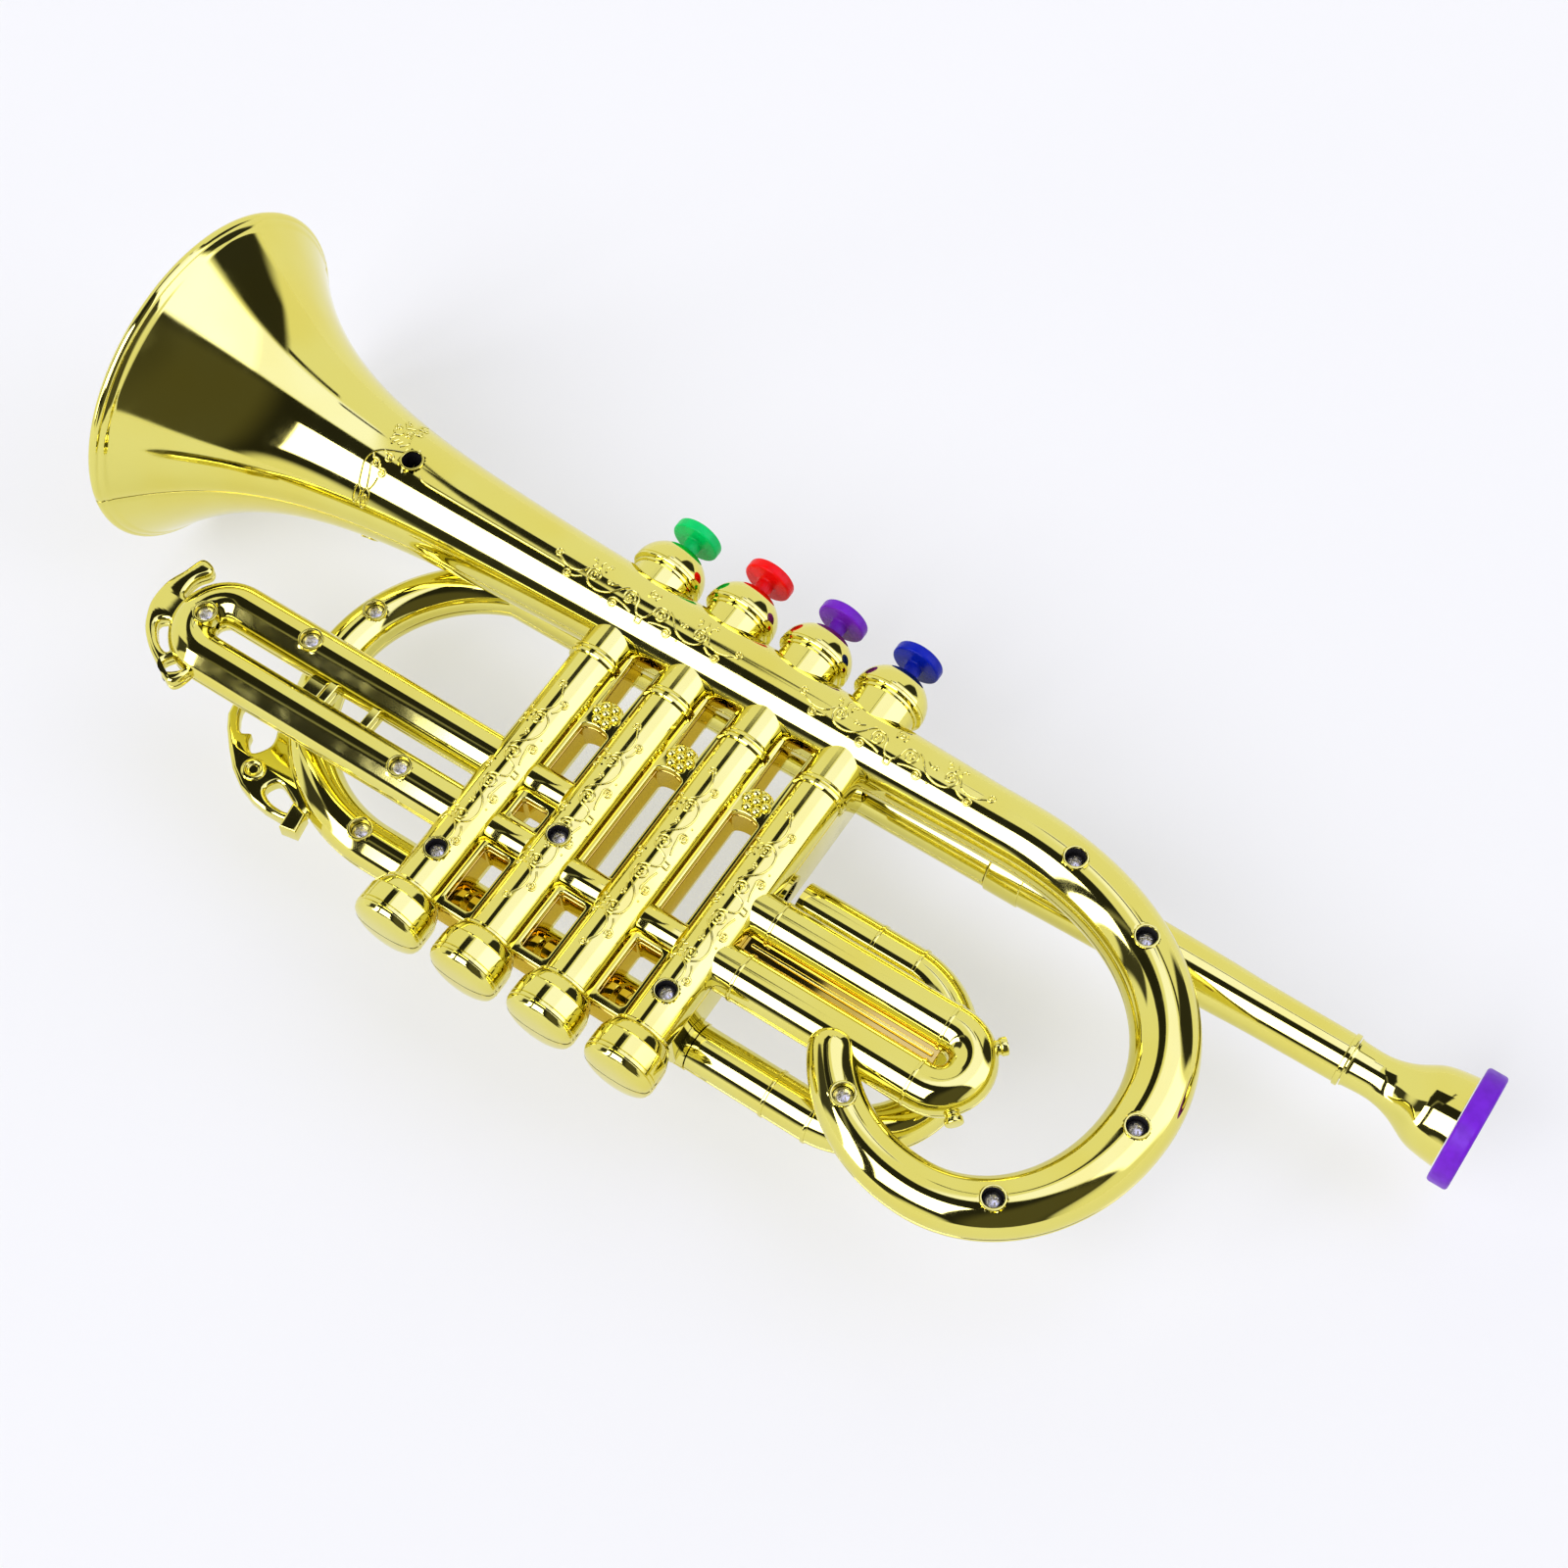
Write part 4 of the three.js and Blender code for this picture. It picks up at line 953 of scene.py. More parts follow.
@dataclass
class Casings(Assembly):
    """Valve casings with their collars and caps, and the windowed webs between them."""

    axis: float = 1.0
    radius: float = 6.9
    deep: float = -14.5
    cap_back: float = -0.2
    web_front: float = 2.4
    web_back: float = -9.0
    flange: float = 0.9
    knuckle: float = -29.6
    link: float = 4.6
    sink: float = 1.7
    overlap: float = 0.9
    web_ends: Point = (-97.0, -5.0)
    petal: float = 1.5
    petal_reach: Point = (2.75, 2.6)
    barrel_ends: Point = (-18.0, -98.0)
    screw_places: tuple[tuple[int, float], ...] = ((0, -86.4), (1, -66.6), (3, -86.8))
    slots: Points = ((-33.6, -52.0), (-33.6, -67.5), (-33.6, -67.5))
    head: Point = (-8.0, -25.4)
    foot: Point = (-77.0, -94.5)
    small: Point = (-60.6, -66.4)
    links: tuple[tuple[float, ...], ...] = ((-54.6, -71.7), (-71.7,), (-71.7,))
    collar: Points = (
        (-4.0, 6.8), (-4.3, 7.1), (-16.5, 7.1), (-16.7, 6.85), (-16.9, 7.55), (-17.2, 7.72), (-17.9, 7.72),
        (-18.15, 7.35), (-18.4, 7.72), (-19.2, 7.72), (-19.5, 7.5), (-19.7, 6.3),
    )
    cap: Points = (
        (-96.7, 6.50), (-96.9, 7.60), (-97.2, 7.85), (-97.7, 7.85), (-97.85, 7.60), (-98.1, 8.10),
        (-98.7, 8.60), (-99.5, 8.90), (-100.4, 9.30), (-101.3, 9.60), (-101.45, 9.45), (-101.65, 9.75),
        (-103.6, 9.90), (-106.2, 9.90), (-106.35, 9.65), (-106.55, 9.90), (-107.3, 9.90), (-107.45, 9.65),
        (-107.65, 9.80), (-108.2, 9.75), (-108.5, 9.55),
    )
    cap_foot: float = -110.8
    cap_dome: float = 9.5

    def x(self, i: int) -> float:
        """Place of a casing along the tube."""
        return FIRST_VALVE + VALVE_PITCH * i

    def screws(self) -> list[Spot]:
        """Place of each screw, the height of the surface there and how deep the head sits."""
        return [(self.x(i), y, self.axis + self.radius, self.sink) for i, y in self.screw_places]

    def cap_line(self) -> list[Point]:
        """The cap's places and radii: its rings, then a dome that closes as a flattened quarter circle.

        Returns:
            The (place, radius) points in order.
        """
        rings = list(self.cap)
        start = rings[-1][0]
        t = np.linspace(0.12, 1.568, 22)
        dome = zip(start + (self.cap_foot - start) * np.sin(t), self.cap_dome * np.cos(t) ** 0.8)
        return rings + [(float(y), float(r)) for y, r in dome]

    def column(self, i: int, line: Sequence[Point], axis: float) -> Run:
        """A run down along Y with a radius at each place."""
        y, outer = np.array(line, float).T
        return Run(np.stack([np.full_like(y, self.x(i)), y, np.full_like(y, axis)], -1), outer)

    def barrel(self, i: int) -> Run:
        """The casing's plain tube, with close rows near its screw.

        Args:
            i: number of the casing.

        Returns:
            The run of the tube.
        """
        y = np.linspace(*self.barrel_ends, 1200)
        run = self.column(i, list(zip(y, np.full_like(y, self.radius))), self.axis)
        return run.refined(2.0, FINE, [(x, at) for x, at, *_ in self.screws()])

    def deep_back(self, surface: Surface, i: int) -> None:
        """Adds the casing's deep back, a box whose rear edges are rounded and whose ends are eased.

        Args:
            surface: where the points go.
            i: number of the casing.
        """
        half = self.radius
        section = rectangle(-half, half, self.deep, half, 1.8)
        section = section[section[:, 1] < -1.0]
        order = np.argsort(np.arctan2(section[:, 1] + 7.0, section[:, 0]))
        section = np.vstack([[(-half, -SEAM)], section[order], [(half, -SEAM)]])
        y = np.array([-8.0, -8.15, -8.6, -94.4, -94.85, -95.0])
        inset = np.array([0.6, 0.18, 0.0, 0.0, 0.18, 0.6])[:, None]
        x = section[None, :, 0] * (1.0 - inset / half)
        z = np.minimum(section[None, :, 1] * (1.0 + inset / self.deep), -SEAM)
        points = np.stack([self.x(i) + x, np.repeat(y[:, None], len(section), 1), z], -1)
        surface.grid(points)
        surface.cap(points[0])
        surface.cap(points[-1])

    def windows(self, gap: int, middle: float, side: float) -> list[Array]:
        """Outlines of a web's windows.

        Args:
            gap: number of the web.
            middle: place of its middle line.
            side: half the windows' width.

        Returns:
            A slot with a round head, a window that the rosette bites into, and the square ones.
        """
        def box(foot: float, top: float, radius: float = 1.1) -> Array:
            """A window of this web from its foot to its top."""
            return rectangle(middle - side, middle + side, foot, top, radius)

        top, foot = self.slots[gap]
        bulge = 0.45 * side
        angle = np.linspace(0.0, np.pi, 20)
        arch = np.stack([side * np.cos(angle), bulge * np.sin(angle)], -1)
        upper_half = len(box(foot, top)) // 2
        slot = np.vstack([arch + np.array([middle, top - bulge]), box(foot, top, 0.9)[upper_half:]])
        high, low = self.head
        bite = arch[::-1] * np.array([0.9, 1.0]) + np.array([middle, low - bulge])
        upper = np.vstack([box(low, high)[:upper_half], bite])
        squares = [self.foot, self.small] if gap == 0 else [self.foot]
        return [slot, upper, *(box(low, high) for high, low in squares)]

    def web(self, front: Surface, back: Surface, details: Surface, gap: int) -> None:
        """Adds a web with its windows, its link tubes and the rosette.

        Args:
            front: surface of the front plates.
            back: surface of the back plates.
            details: surface of the link tubes and rosettes.
            gap: number of the web.
        """
        left = self.x(gap) + self.radius - self.overlap
        right = self.x(gap + 1) - self.radius + self.overlap
        middle = (left + right) / 2.0
        outline = rectangle(left, right, *self.web_ends, 0.3)
        windows = self.windows(gap, middle, (right - left) / 2.0 - self.overlap - self.flange)
        plate(front, outline, windows, SEAM, self.web_front, 0.5)
        plate(back, outline, windows, self.web_back, -SEAM, 0.4)
        for y in self.links[gap]:
            tube = rounded([(left, 0.0), (left, self.link), (right, self.link), (right, 0.0)], 0.25)
            details.grid(turned(tube, (0.0, y, self.axis), "x", 48))
        wide, tall = self.petal_reach
        petals = [(middle + wide * math.cos(a), self.knuckle + tall * math.sin(a), self.web_front + 0.1)
                  for a in np.arange(6) * np.pi / 3.0]
        for place in (*petals, (middle, self.knuckle, self.web_front + 0.6)):
            details.grid(ball(place, self.petal))

    def build(self) -> None:
        """Builds the casings and the webs, in their front and back halves."""
        front, back, webs, rears = (Surface() for _ in range(4))
        for i in range(VALVES):
            HalfShell(self.barrel(i), Side.FRONT, well_places(self.screws())).build(front)
            self.deep_back(rears, i)
            both_halves(self.column(i, self.collar, self.axis), front, rears)
            HalfShell(self.column(i, self.cap_line(), self.axis), Side.FRONT).build(front)
            HalfShell(self.column(i, self.cap_line(), self.cap_back), Side.BACK, tall=True).build(rears)
        for gap in range(VALVES - 1):
            self.web(webs, back, front, gap)
        self.show(front, "casings_front", ["valve_body_front"])
        self.show(back, "casings_back", ["valve_body_back"], finish="recess")
        self.show(rears, "casing_rears")
        self.show(webs, "casing_webs", finish="recess")
        self.show_bosses(self.screws(), "casing")


@dataclass
class LeftSlide(Assembly):
    """The finger slide on the bell side, with its bars, block and hook plate."""

    axis: float = -63.7
    spread: float = 8.7
    radius: float = 6.5
    turn: float = 56.0
    open_x: float = 141.0
    bars: Point = (90.7, 104.6)
    bar_half: float = 1.3
    block: float = 85.7
    half: float = 2.6
    screw_places: Points = ((50.6, -63.7), (79.1, -55.0), (121.4, -72.4))
    hook_corner: Point = (33.5, -49.5)
    hook_height: float = 34.5
    sink: float = 0.5
    hook: Points = (
        (0.101, 0), (0.052, -0.154), (0, -0.31), (0.003, -0.487), (0.055, -0.62), (0.13, -0.73),
        (0.258, -0.838), (0.38, -0.907), (0.501, -0.974), (0.603, -1), (0.658, -0.893), (0.652, -0.652),
        (0.478, -0.362), (0.319, -0.319), (0.203, -0.333), (0.177, -0.246), (0.188, -0.162),
        (0.243, -0.072), (0.212, -0.006),
    )
    hook_windows: tuple[Points, ...] = (
        ((0.18, -0.646), (0.2, -0.591), (0.275, -0.583), (0.4, -0.745), (0.391, -0.803), (0.284, -0.759)),
        ((0.438, -0.878), (0.525, -0.768), (0.609, -0.832), (0.513, -0.93)),
    )

    def screws(self) -> list[Spot]:
        """Place of each screw, the height of the surface there and how deep the head sits."""
        return [(x, y, self.radius, self.sink) for x, y in self.screw_places]

    def build(self) -> None:
        """Builds the two halves, the hook plate and the bosses."""
        front, back = Surface(), Surface()
        bend = Bend(self.open_x, self.turn, self.axis, self.spread, self.radius)
        both_halves(bend.run(self.screw_places), front, back, self.screws())
        foot, top = self.axis - self.spread, self.axis + self.spread
        for x in self.bars:
            bar = rectangle(x - self.bar_half, x + self.bar_half, foot, top, 0.3)
            plate(front, bar, [], SEAM, self.half, 0.4)
            plate(back, bar, [], -self.half, -SEAM, 0.4)
        bridge = rectangle(self.block - self.half, self.block + self.half, foot, top, 0.3)
        plate(back, bridge, [], -self.half, 0.5, 0.4)
        hook = smooth_line(placed(self.hook, self.hook_corner, self.hook_height), 5, loop=True)
        holes = pierced(self.hook_windows, self.hook_corner, self.hook_height)
        plate(front, hook, holes, SEAM, self.half, 1.3, 0.2)
        plate(back, hook, holes, -self.half, -SEAM, 0.2, 1.3)
        self.show_halves(front, back, "finger_slide", "left_slide")
        self.show_bosses(self.screws(), "finger_slide")


def ring_bands(surface: Surface, places: Sequence[float], legs: Sequence[float], plane: float,
               radius: float) -> None:
    """Adds raised bands round two legs of a slide.

    Args:
        surface: where the points go.
        places: the bands' places along X.
        legs: heights of the two legs.
        plane: height of their axes.
        radius: the tube's radius.
    """
    inside, outside = radius - 0.8, radius + 0.3
    for x in places:
        left, right = x - 0.5, x + 0.5
        band = rounded([(left, inside), (right, inside), (right, outside), (left, outside)], 0.2)
        for y in legs:
            surface.grid(turned(band, (0.0, y, plane), "x", 56))


@dataclass
class RightSlide(Assembly):
    """The slide on the bow side, with four bands and two knobs."""

    axis: float = -62.8
    spread: float = 8.4
    radius: float = 6.4
    turn: float = 277.8
    open_x: float = 217.0
    bands: Point = (225.7, 276.0)
    knob: float = 2.4
    knob_neck: float = 1.9
    knob_length: float = 2.5
    web_ends: Point = (221.0, 277.2)
    web_half: float = 3.6
    rib_ends: Point = (223.0, 276.3)

    def knobs(self, surface: Surface) -> None:
        """Adds the knobs, turned about X and then swung to 45 degrees each way about the slide's turn.

        Args:
            surface: where the points go.
        """
        reach = self.spread + self.radius
        foot, top = reach - WALL, reach + self.knob_length
        line = [(foot, 0.0), (foot, self.knob_neck), (reach + 0.5, self.knob_neck), (reach + 0.9, self.knob),
                (top, self.knob), (top, 0.0)]
        knob = turned(rounded(line, 0.35), (0.0, 0.0, 0.0), "x", 32)
        for angle in (math.pi / 4.0, -math.pi / 4.0):
            swing = np.array(Matrix.Rotation(angle, 3, "Z"))
            surface.grid(knob @ swing.T + np.array([self.turn, self.axis, 0.0]))

    def build(self) -> None:
        """Builds the two halves with the bands and knobs, and the web and rib in the groove."""
        front, back, groove = (Surface() for _ in range(3))
        both_halves(Bend(self.open_x, self.turn, self.axis, self.spread, self.radius).run(), front, back)
        ring_bands(front, self.bands, (self.axis - self.spread, self.axis + self.spread), 0.0, self.radius)
        self.knobs(front)
        for ends, half, low, high, ease in ((self.web_ends, self.web_half, -0.6, 0.6, 0.2),
                                            (self.rib_ends, 0.5, 0.0, 1.5, 0.3)):
            plate(groove, rectangle(*ends, self.axis - half, self.axis + half, 0.3), [], low, high, ease)
        self.show(groove, "small_slide_groove", finish="recess")
        self.show_halves(front, back, "small_slide", "right_slide")


@dataclass
class RearPipe(Assembly):
    """Lead pipe behind the tube, with the arc that its left end turns into and the run behind the casings."""

    left: float = 84.0
    right: float = 258.0
    radius_left: float = 9.1
    radius_right: float = 8.2
    arc_at: float = 120.4
    foot: float = -86.5
    arc_radius: float = 6.7
    run_end: float = 222.1
    screw_angles: Point = (2.86, 4.62)
    sink: float = 1.0
    slide_top: float = -39.1
    slide_turn: float = 255.7
    slide_open: float = 222.4
    slide_radius: float = 6.4
    slide_bands: Point = (245.0, 257.5)

    def half_circle(self) -> Point:
        """Radius of the arc's middle line, and the height of its centre."""
        return (REAR_AXIS - self.foot) / 2.0, (REAR_AXIS + self.foot) / 2.0

    def screws(self) -> list[Spot]:
        """Place of each screw, the height of the surface there and how deep the head sits.

        Returns:
            For each screw its place, the height of the surface there and how deep its head sits.
        """
        reach, middle = self.half_circle()
        top = REAR_PLANE + self.arc_radius
        return [(self.arc_at + reach * math.cos(a), middle + reach * math.sin(a), top, self.sink)
                for a in self.screw_angles]

    def lead(self) -> Run:
        """The lead pipe: a quarter ellipse for its nose, then an even taper.

        Returns:
            The run, with its wall and seam.
        """
        nose = self.radius_left / 2.0
        x = np.concatenate([self.left + nose * (1.0 - np.cos(np.linspace(0.05, np.pi / 2, 60))),
                            np.linspace(self.left + nose + 0.1, self.right, 900)])
        taper = np.interp(x, [self.left, self.right], [self.radius_left, self.radius_right])
        share = np.clip((self.left + nose - x) / nose, 0.0, 0.998)
        outer = taper * np.sqrt(1.0 - share**2)
        centres = np.stack([x, np.full_like(x, REAR_AXIS), np.full_like(x, REAR_PLANE)], -1)
        return Run(centres, outer, np.full_like(x, WALL), REAR_PLANE).refined(1.6, FINE)

    def arc(self) -> Run:
        """The arc: a half circle down to the foot, then straight behind the casings.

        Returns:
            The run, with its wall and seam.
        """
        reach, middle = self.half_circle()
        angle = np.linspace(np.pi / 2, np.pi * 1.5, 900)
        straight = np.linspace(self.arc_at + 0.1, self.run_end, 700)
        start = np.linspace(self.arc_at + 8.0, self.arc_at + 0.1, 60)
        x = np.concatenate([start, self.arc_at + reach * np.cos(angle), straight])
        y = np.concatenate([0 * start + REAR_AXIS, middle + reach * np.sin(angle), 0 * straight + self.foot])
        outer = np.full(len(x), self.arc_radius)
        centres = np.stack([x, y, np.full_like(x, REAR_PLANE)], -1)
        run = Run(centres, outer, np.full(len(x), WALL), REAR_PLANE)
        return run.refined(1.3, FINE, [(x, y) for x, y, *_ in self.screws()])

    def build(self) -> None:
        """Builds the halves of the pipe and of the rear slide, and the bosses."""
        front, back = Surface(), Surface()
        both_halves(self.lead(), front, back)
        both_halves(self.arc(), front, back, self.screws())
        self.show_halves(front, back, "lead_pipe", "rear_pipe")
        self.show_bosses(self.screws(), "lead_pipe")
        front, back = Surface(), Surface()
        spread, axis = (self.slide_top - self.foot) / 2.0, (self.slide_top + self.foot) / 2.0
        bend = Bend(self.slide_open, self.slide_turn, axis, spread, self.slide_radius, REAR_PLANE)
        both_halves(bend.run(), front, back)
        ring_bands(front, self.slide_bands, (self.slide_top, self.foot), REAR_PLANE, self.slide_radius)
        self.show_halves(front, back, "tuning_slide", "rear_slide")


@dataclass
class ArcBrace(Assembly):
    """The pierced brace inside the arc, with its eye."""

    corner: Point = (62.2, -62.5)
    height: float = 35.5
    half: float = 2.3
    outline: Points = (
        (0, -0.211), (0.008, -0.299), (0.035, -0.4), (0.108, -0.5), (0.225, -0.622), (0.36, -0.745),
        (0.501, -0.829), (0.642, -0.876), (0.783, -0.893), (0.905, -0.89), (1.0, -0.87), (1.06, -0.79),
        (1.07, -0.617), (0.842, -0.473), (0.648, -0.287), (0.496, -0.062), (0.473, 0),
    )
    windows: tuple[Points, ...] = (
        ((0.096, -0.268), (0.332, -0.197), (0.428, -0.296), (0.475, -0.394), (0.47, -0.47),
         (0.4, -0.56), (0.321, -0.501), (0.29, -0.437), (0.203, -0.462)),
        ((0.68, -0.75), (0.71, -0.67), (0.76, -0.655), (0.87, -0.7), (0.945, -0.745), (0.935, -0.81),
         (0.83, -0.82), (0.74, -0.8)),
    )
    eye: Point = (0.507, -0.672)
    foot: Points = ((0.93, -0.725), (1.07, -0.76), (1.1, -0.92), (0.965, -0.945))
    eye_radius: float = 3.4

    def build(self) -> None:
        """Builds the plate, the block at its foot and the ring of its eye."""
        surface = Surface()
        outline, foot, eye = (placed(shares, self.corner, self.height)
                              for shares in (self.outline, self.foot, [self.eye]))
        low, high = REAR_PLANE - self.half, REAR_PLANE + self.half
        plate(surface, outline, pierced(self.windows, self.corner, self.height), low, high, 1.2)
        plate(surface, foot, [], low - 0.4, high + 0.6, 0.6)
        x, y = eye[0]
        ring = [(low, 1.1), (low, self.eye_radius), (high + 0.5, self.eye_radius), (high + 0.7, 2.2),
                (high + 0.2, 1.9), (high + 0.2, 1.1)]
        surface.grid(turned(rounded(ring, 0.5), (x, y, 0.0), "z", 40))
        self.show(surface, "arc_brace_plate", ["arc_brace"])


@dataclass
class Mouth(Assembly):
    """Mouth pipe, mouthpiece cup and the ring round it, turned about the rear axis."""

    start: float = 258.3
    end: float = 361.0
    ferrule: float = 8.7
    ferrule_length: float = 10.0
    ferrule_bore: float = 6.1
    shoulder: float = 8.35
    waist: Points = ((280.66, 8.0), (319.8, 7.35), (335.25, 6.9))
    end_radius: float = 6.7
    bead: float = 7.2
    bead_length: float = 1.6
    spigot: float = 4.9
    spigot_length: float = 6.0
    cup: Points = ((0, 6.7), (0.05, 6.3), (0.28, 6.2), (0.48, 7.7), (0.69, 10.9), (0.84, 12.0), (1, 12.6))
    cup_length: float = 29.3
    bowl: float = 9.2
    bowl_depth: float = 12.0
    bore: float = 3.6
    lip: float = 16.0
    lip_bore: float = 9.8
    lip_length: float = 5.7

    def turn(self, profile: Sequence[Point], name: str, node: str, slot: str = "plated") -> None:
        """Turns a closed profile into a piece.

        Args:
            profile: the (place, radius) points.
            name: the piece's name.
            node: the solid that it stands for.
            slot: the slot of its finish.
        """
        surface = Surface()
        surface.grid(turned(profile, (0.0, REAR_AXIS, REAR_PLANE), "x", 96))
        self.show(surface, name, [node], slot)

    def build(self) -> None:
        """Builds the pipe, the cup and the ring."""
        step = self.start + self.ferrule_length
        neck = self.end - self.bead_length
        pipe = smooth_line([(step, self.shoulder), *self.waist, (neck, self.end_radius)], 12)
        ferrule = rounded([(self.start, self.ferrule_bore), (self.start, self.ferrule), (step, self.ferrule),
                           (step + 0.1, self.shoulder - 0.05)], 0.5)
        bead = rounded([(neck, self.end_radius), (neck + 0.1, self.bead), (self.end, self.bead),
                        (self.end, self.spigot)], 0.4)
        left, right = self.start - self.spigot_length, self.end + self.spigot_length
        spigot = [(right, self.spigot), (right, self.bore), (left, self.bore), (left, self.ferrule_bore)]
        profile = [*ferrule[1:-2], *map(tuple, pipe[1:]), *bead, *spigot]
        self.turn(profile, "mouth_tube", "mouth_pipe")
        first = self.end + 0.3
        last = first + self.cup_length
        outer = smooth_line([(first + s * self.cup_length, r) for s, r in self.cup], 10)
        t = np.linspace(0.0, np.pi / 2, 20)
        bowl = zip(last - self.bowl_depth * np.sin(t), self.bore + (self.bowl - self.bore) * np.cos(t))
        depth, wide = first + self.spigot_length + 0.3, self.spigot + 0.3
        socket = [(depth, self.bore), (depth, wide), (first, wide)]
        self.turn([*map(tuple, outer), *bowl, *socket], "mouth_cup", "mouthpiece_cup")
        back, face = MOUTH_FACE - self.lip_length, MOUTH_FACE
        ring = [(back, self.lip_bore), (back, self.lip), (face, self.lip), (face, self.lip_bore)]
        self.turn(rounded(ring, 1.1, 6), "mouth_ring", "mouthpiece_ring", "ring")


@dataclass
class Keys(Assembly):
    """Domed caps with the sprung keys through them."""

    brass: Brasswork
    dome_foot: float = 1.6
    base: float = 8.9
    radius: float = 10.4
    rim: float = 13.0
    top: float = 24.0
    stem: float = 1.5
    stem_foot: float = 5.2
    neck: float = 2.4
    collar: float = 4.0
    collar_foot: float = 19.4
    collar_height: float = 1.4
    steps_height: float = 2.3
    crown_share: float = 0.955
    button: float = 7.0
    button_foot: float = 28.0
    button_top: float = 31.0
    spring_top: float = 18.9
    lower_top: float = 15.6
    lower_height: float = 4.2
    seat_lift: float = 0.7
    upper_lift: float = 3.4
    spring_turns: float = 2.0
    spring_radii: Point = (3.3, 2.4)
    colours: tuple[str, ...] = ("key_green", "key_red", "key_violet", "key_blue")

    def springs(self, i: int, x: float) -> None:
        """Builds a key's spring as two nested coils.

        Pressing the key slides the upper, narrow coil, which rides on the key, into the lower, wide one.

        Args:
            i: number of the key, from 1.
            x: place of the key along the tube.
        """
        seat = float(self.brass.radius(np.array(x))) + self.seat_lift
        wide, narrow = self.spring_radii
        parts = (("lower", wide, seat, min(seat + self.lower_height, self.lower_top), "frame"),
                 ("upper", narrow, seat + self.upper_lift, self.spring_top, f"button_{i}"))
        for name, radius, low, high, body in parts:
            surface = Surface()
            points = coil(x, radius, low, high, self.spring_turns)
            surface.grid(points)
            surface.cap(points[0])
            surface.cap(points[-1])
            nodes = [f"key_spring_{i}"] if body == "frame" else []
            self.show(surface, f"spring_{name}_{i}", nodes, "screw_steel", body)

    def dome_line(self) -> list[Point]:
        """The dome's section: a plain base, two fine steps and a flattened crown, with a wall inside.

        Returns:
            The (height, radius) points in order.
        """
        t = np.linspace(0.0, 1.0, 22)
        rim, base, full = self.rim, self.base, self.radius
        low = rim + self.steps_height
        crown = [(low + (self.top - low) * s, full * math.sqrt(1.0 - (self.crown_share * s) ** 2)) for s in t]
        steps = [(self.dome_foot, base), (rim, base), (rim + 0.15, base + 0.45), (rim + 0.3, base + 0.5),
                 (rim + 0.95, base + 0.5), (rim + 1.05, base + 0.9), (rim + 1.2, full - 0.15),
                 (rim + 1.4, full), (low - 0.25, full), (low - 0.12, full - 0.25)]
        inside = [(22.8, 2.7), (22.8, 4.3), (20.0, 6.3), (15.4, 6.1), (self.dome_foot, 6.1)]
        return [*steps, *crown, (self.top, 2.95), (self.top - 0.3, 2.7), *inside]

    def build(self) -> None:
        """Builds the domes and the keys."""
        for i, colour in enumerate(self.colours):
            x = FIRST_VALVE + VALVE_PITCH * i
            dome, key = Surface(), Surface()
            dome.grid(turned(self.dome_line(), (x, 0.0, 0.0), "y", 72))
            self.show(dome, f"dome_{i + 1}", [f"dome_cap_{i + 1}"])
            collar_top = self.collar_foot + self.collar_height
            rise = [(self.stem_foot, 0.0), (self.stem_foot, self.stem), (self.collar_foot, self.stem),
                    (self.collar_foot, self.collar), (collar_top, self.collar), (collar_top, self.neck),
                    (self.button_foot, self.neck), (self.button_foot, self.button),
                    (self.button_top, self.button), (self.button_top, 0.0)]
            key.grid(turned(rounded(rise, 0.65, 4), (x, 0.0, 0.0), "y", 64))
            self.show(key, f"push_key_{i + 1}", [f"key_{i + 1}"], colour, f"button_{i + 1}")
            self.springs(i + 1, x)


@dataclass
class Screws(Assembly):
    """Pan head screws with a cross recess, each at a turn of its own."""

    head: float = 2.42
    height: float = 1.4
    shank: float = 1.1
    length: float = 6.0
    cross: float = 0.4
    arm: float = 1.45
    depth: float = 0.8
    dome: float = 0.6
    edge: float = 0.3
    twist: float = 1.7

    def build(self, spots: Sequence[Spot]) -> None:
        """Builds the screws.

        The head is a grid of rings and spokes whose height is a low dome, less the depth of the recess where
        either of two crossed bars covers the point.

        Args:
            spots: place of each screw, the height of the surface there and how deep the head sits.
        """
        r = np.concatenate([np.linspace(0.0, 1.6, 16), np.linspace(1.7, self.head, 7)])[:, None]
        a = np.linspace(0.0, 2 * np.pi, 72, endpoint=False)[None, :]
        u, v = r * np.cos(a), r * np.sin(a)
        dome = -self.dome * (r / self.head) ** 2 - self.edge * smooth_step(r, 1.8, self.head)
        for number, (x, y, surface_height, sink) in enumerate(spots, 1):
            turn = self.twist * number
            first = u * math.cos(turn) + v * math.sin(turn)
            second = v * math.cos(turn) - u * math.sin(turn)
            bars = [smooth_step(self.cross - np.abs(p), -0.08, 0.08)
                    * smooth_step(self.arm - np.abs(q), 0.0, 0.25)
                    for p, q in ((first, second), (second, first))]
            top = surface_height - sink
            screw = Surface()
            screw.grid(np.stack([x + u, y + v, top + dome - self.depth * np.maximum(*bars)], -1))
            seat, tip = top - self.height, top - self.length + sink
            side = [(top - self.dome - self.edge, self.head), (seat, self.head), (seat, self.shank),
                    (tip, self.shank), (tip - 1.0, 0.0)]
            screw.grid(turned(side, (x, y, 0.0), "z", 72, loop=False))
            self.show(screw, f"screw_head_{number}", [f"screw_{number}"], "screw_steel", sharp=50.0)


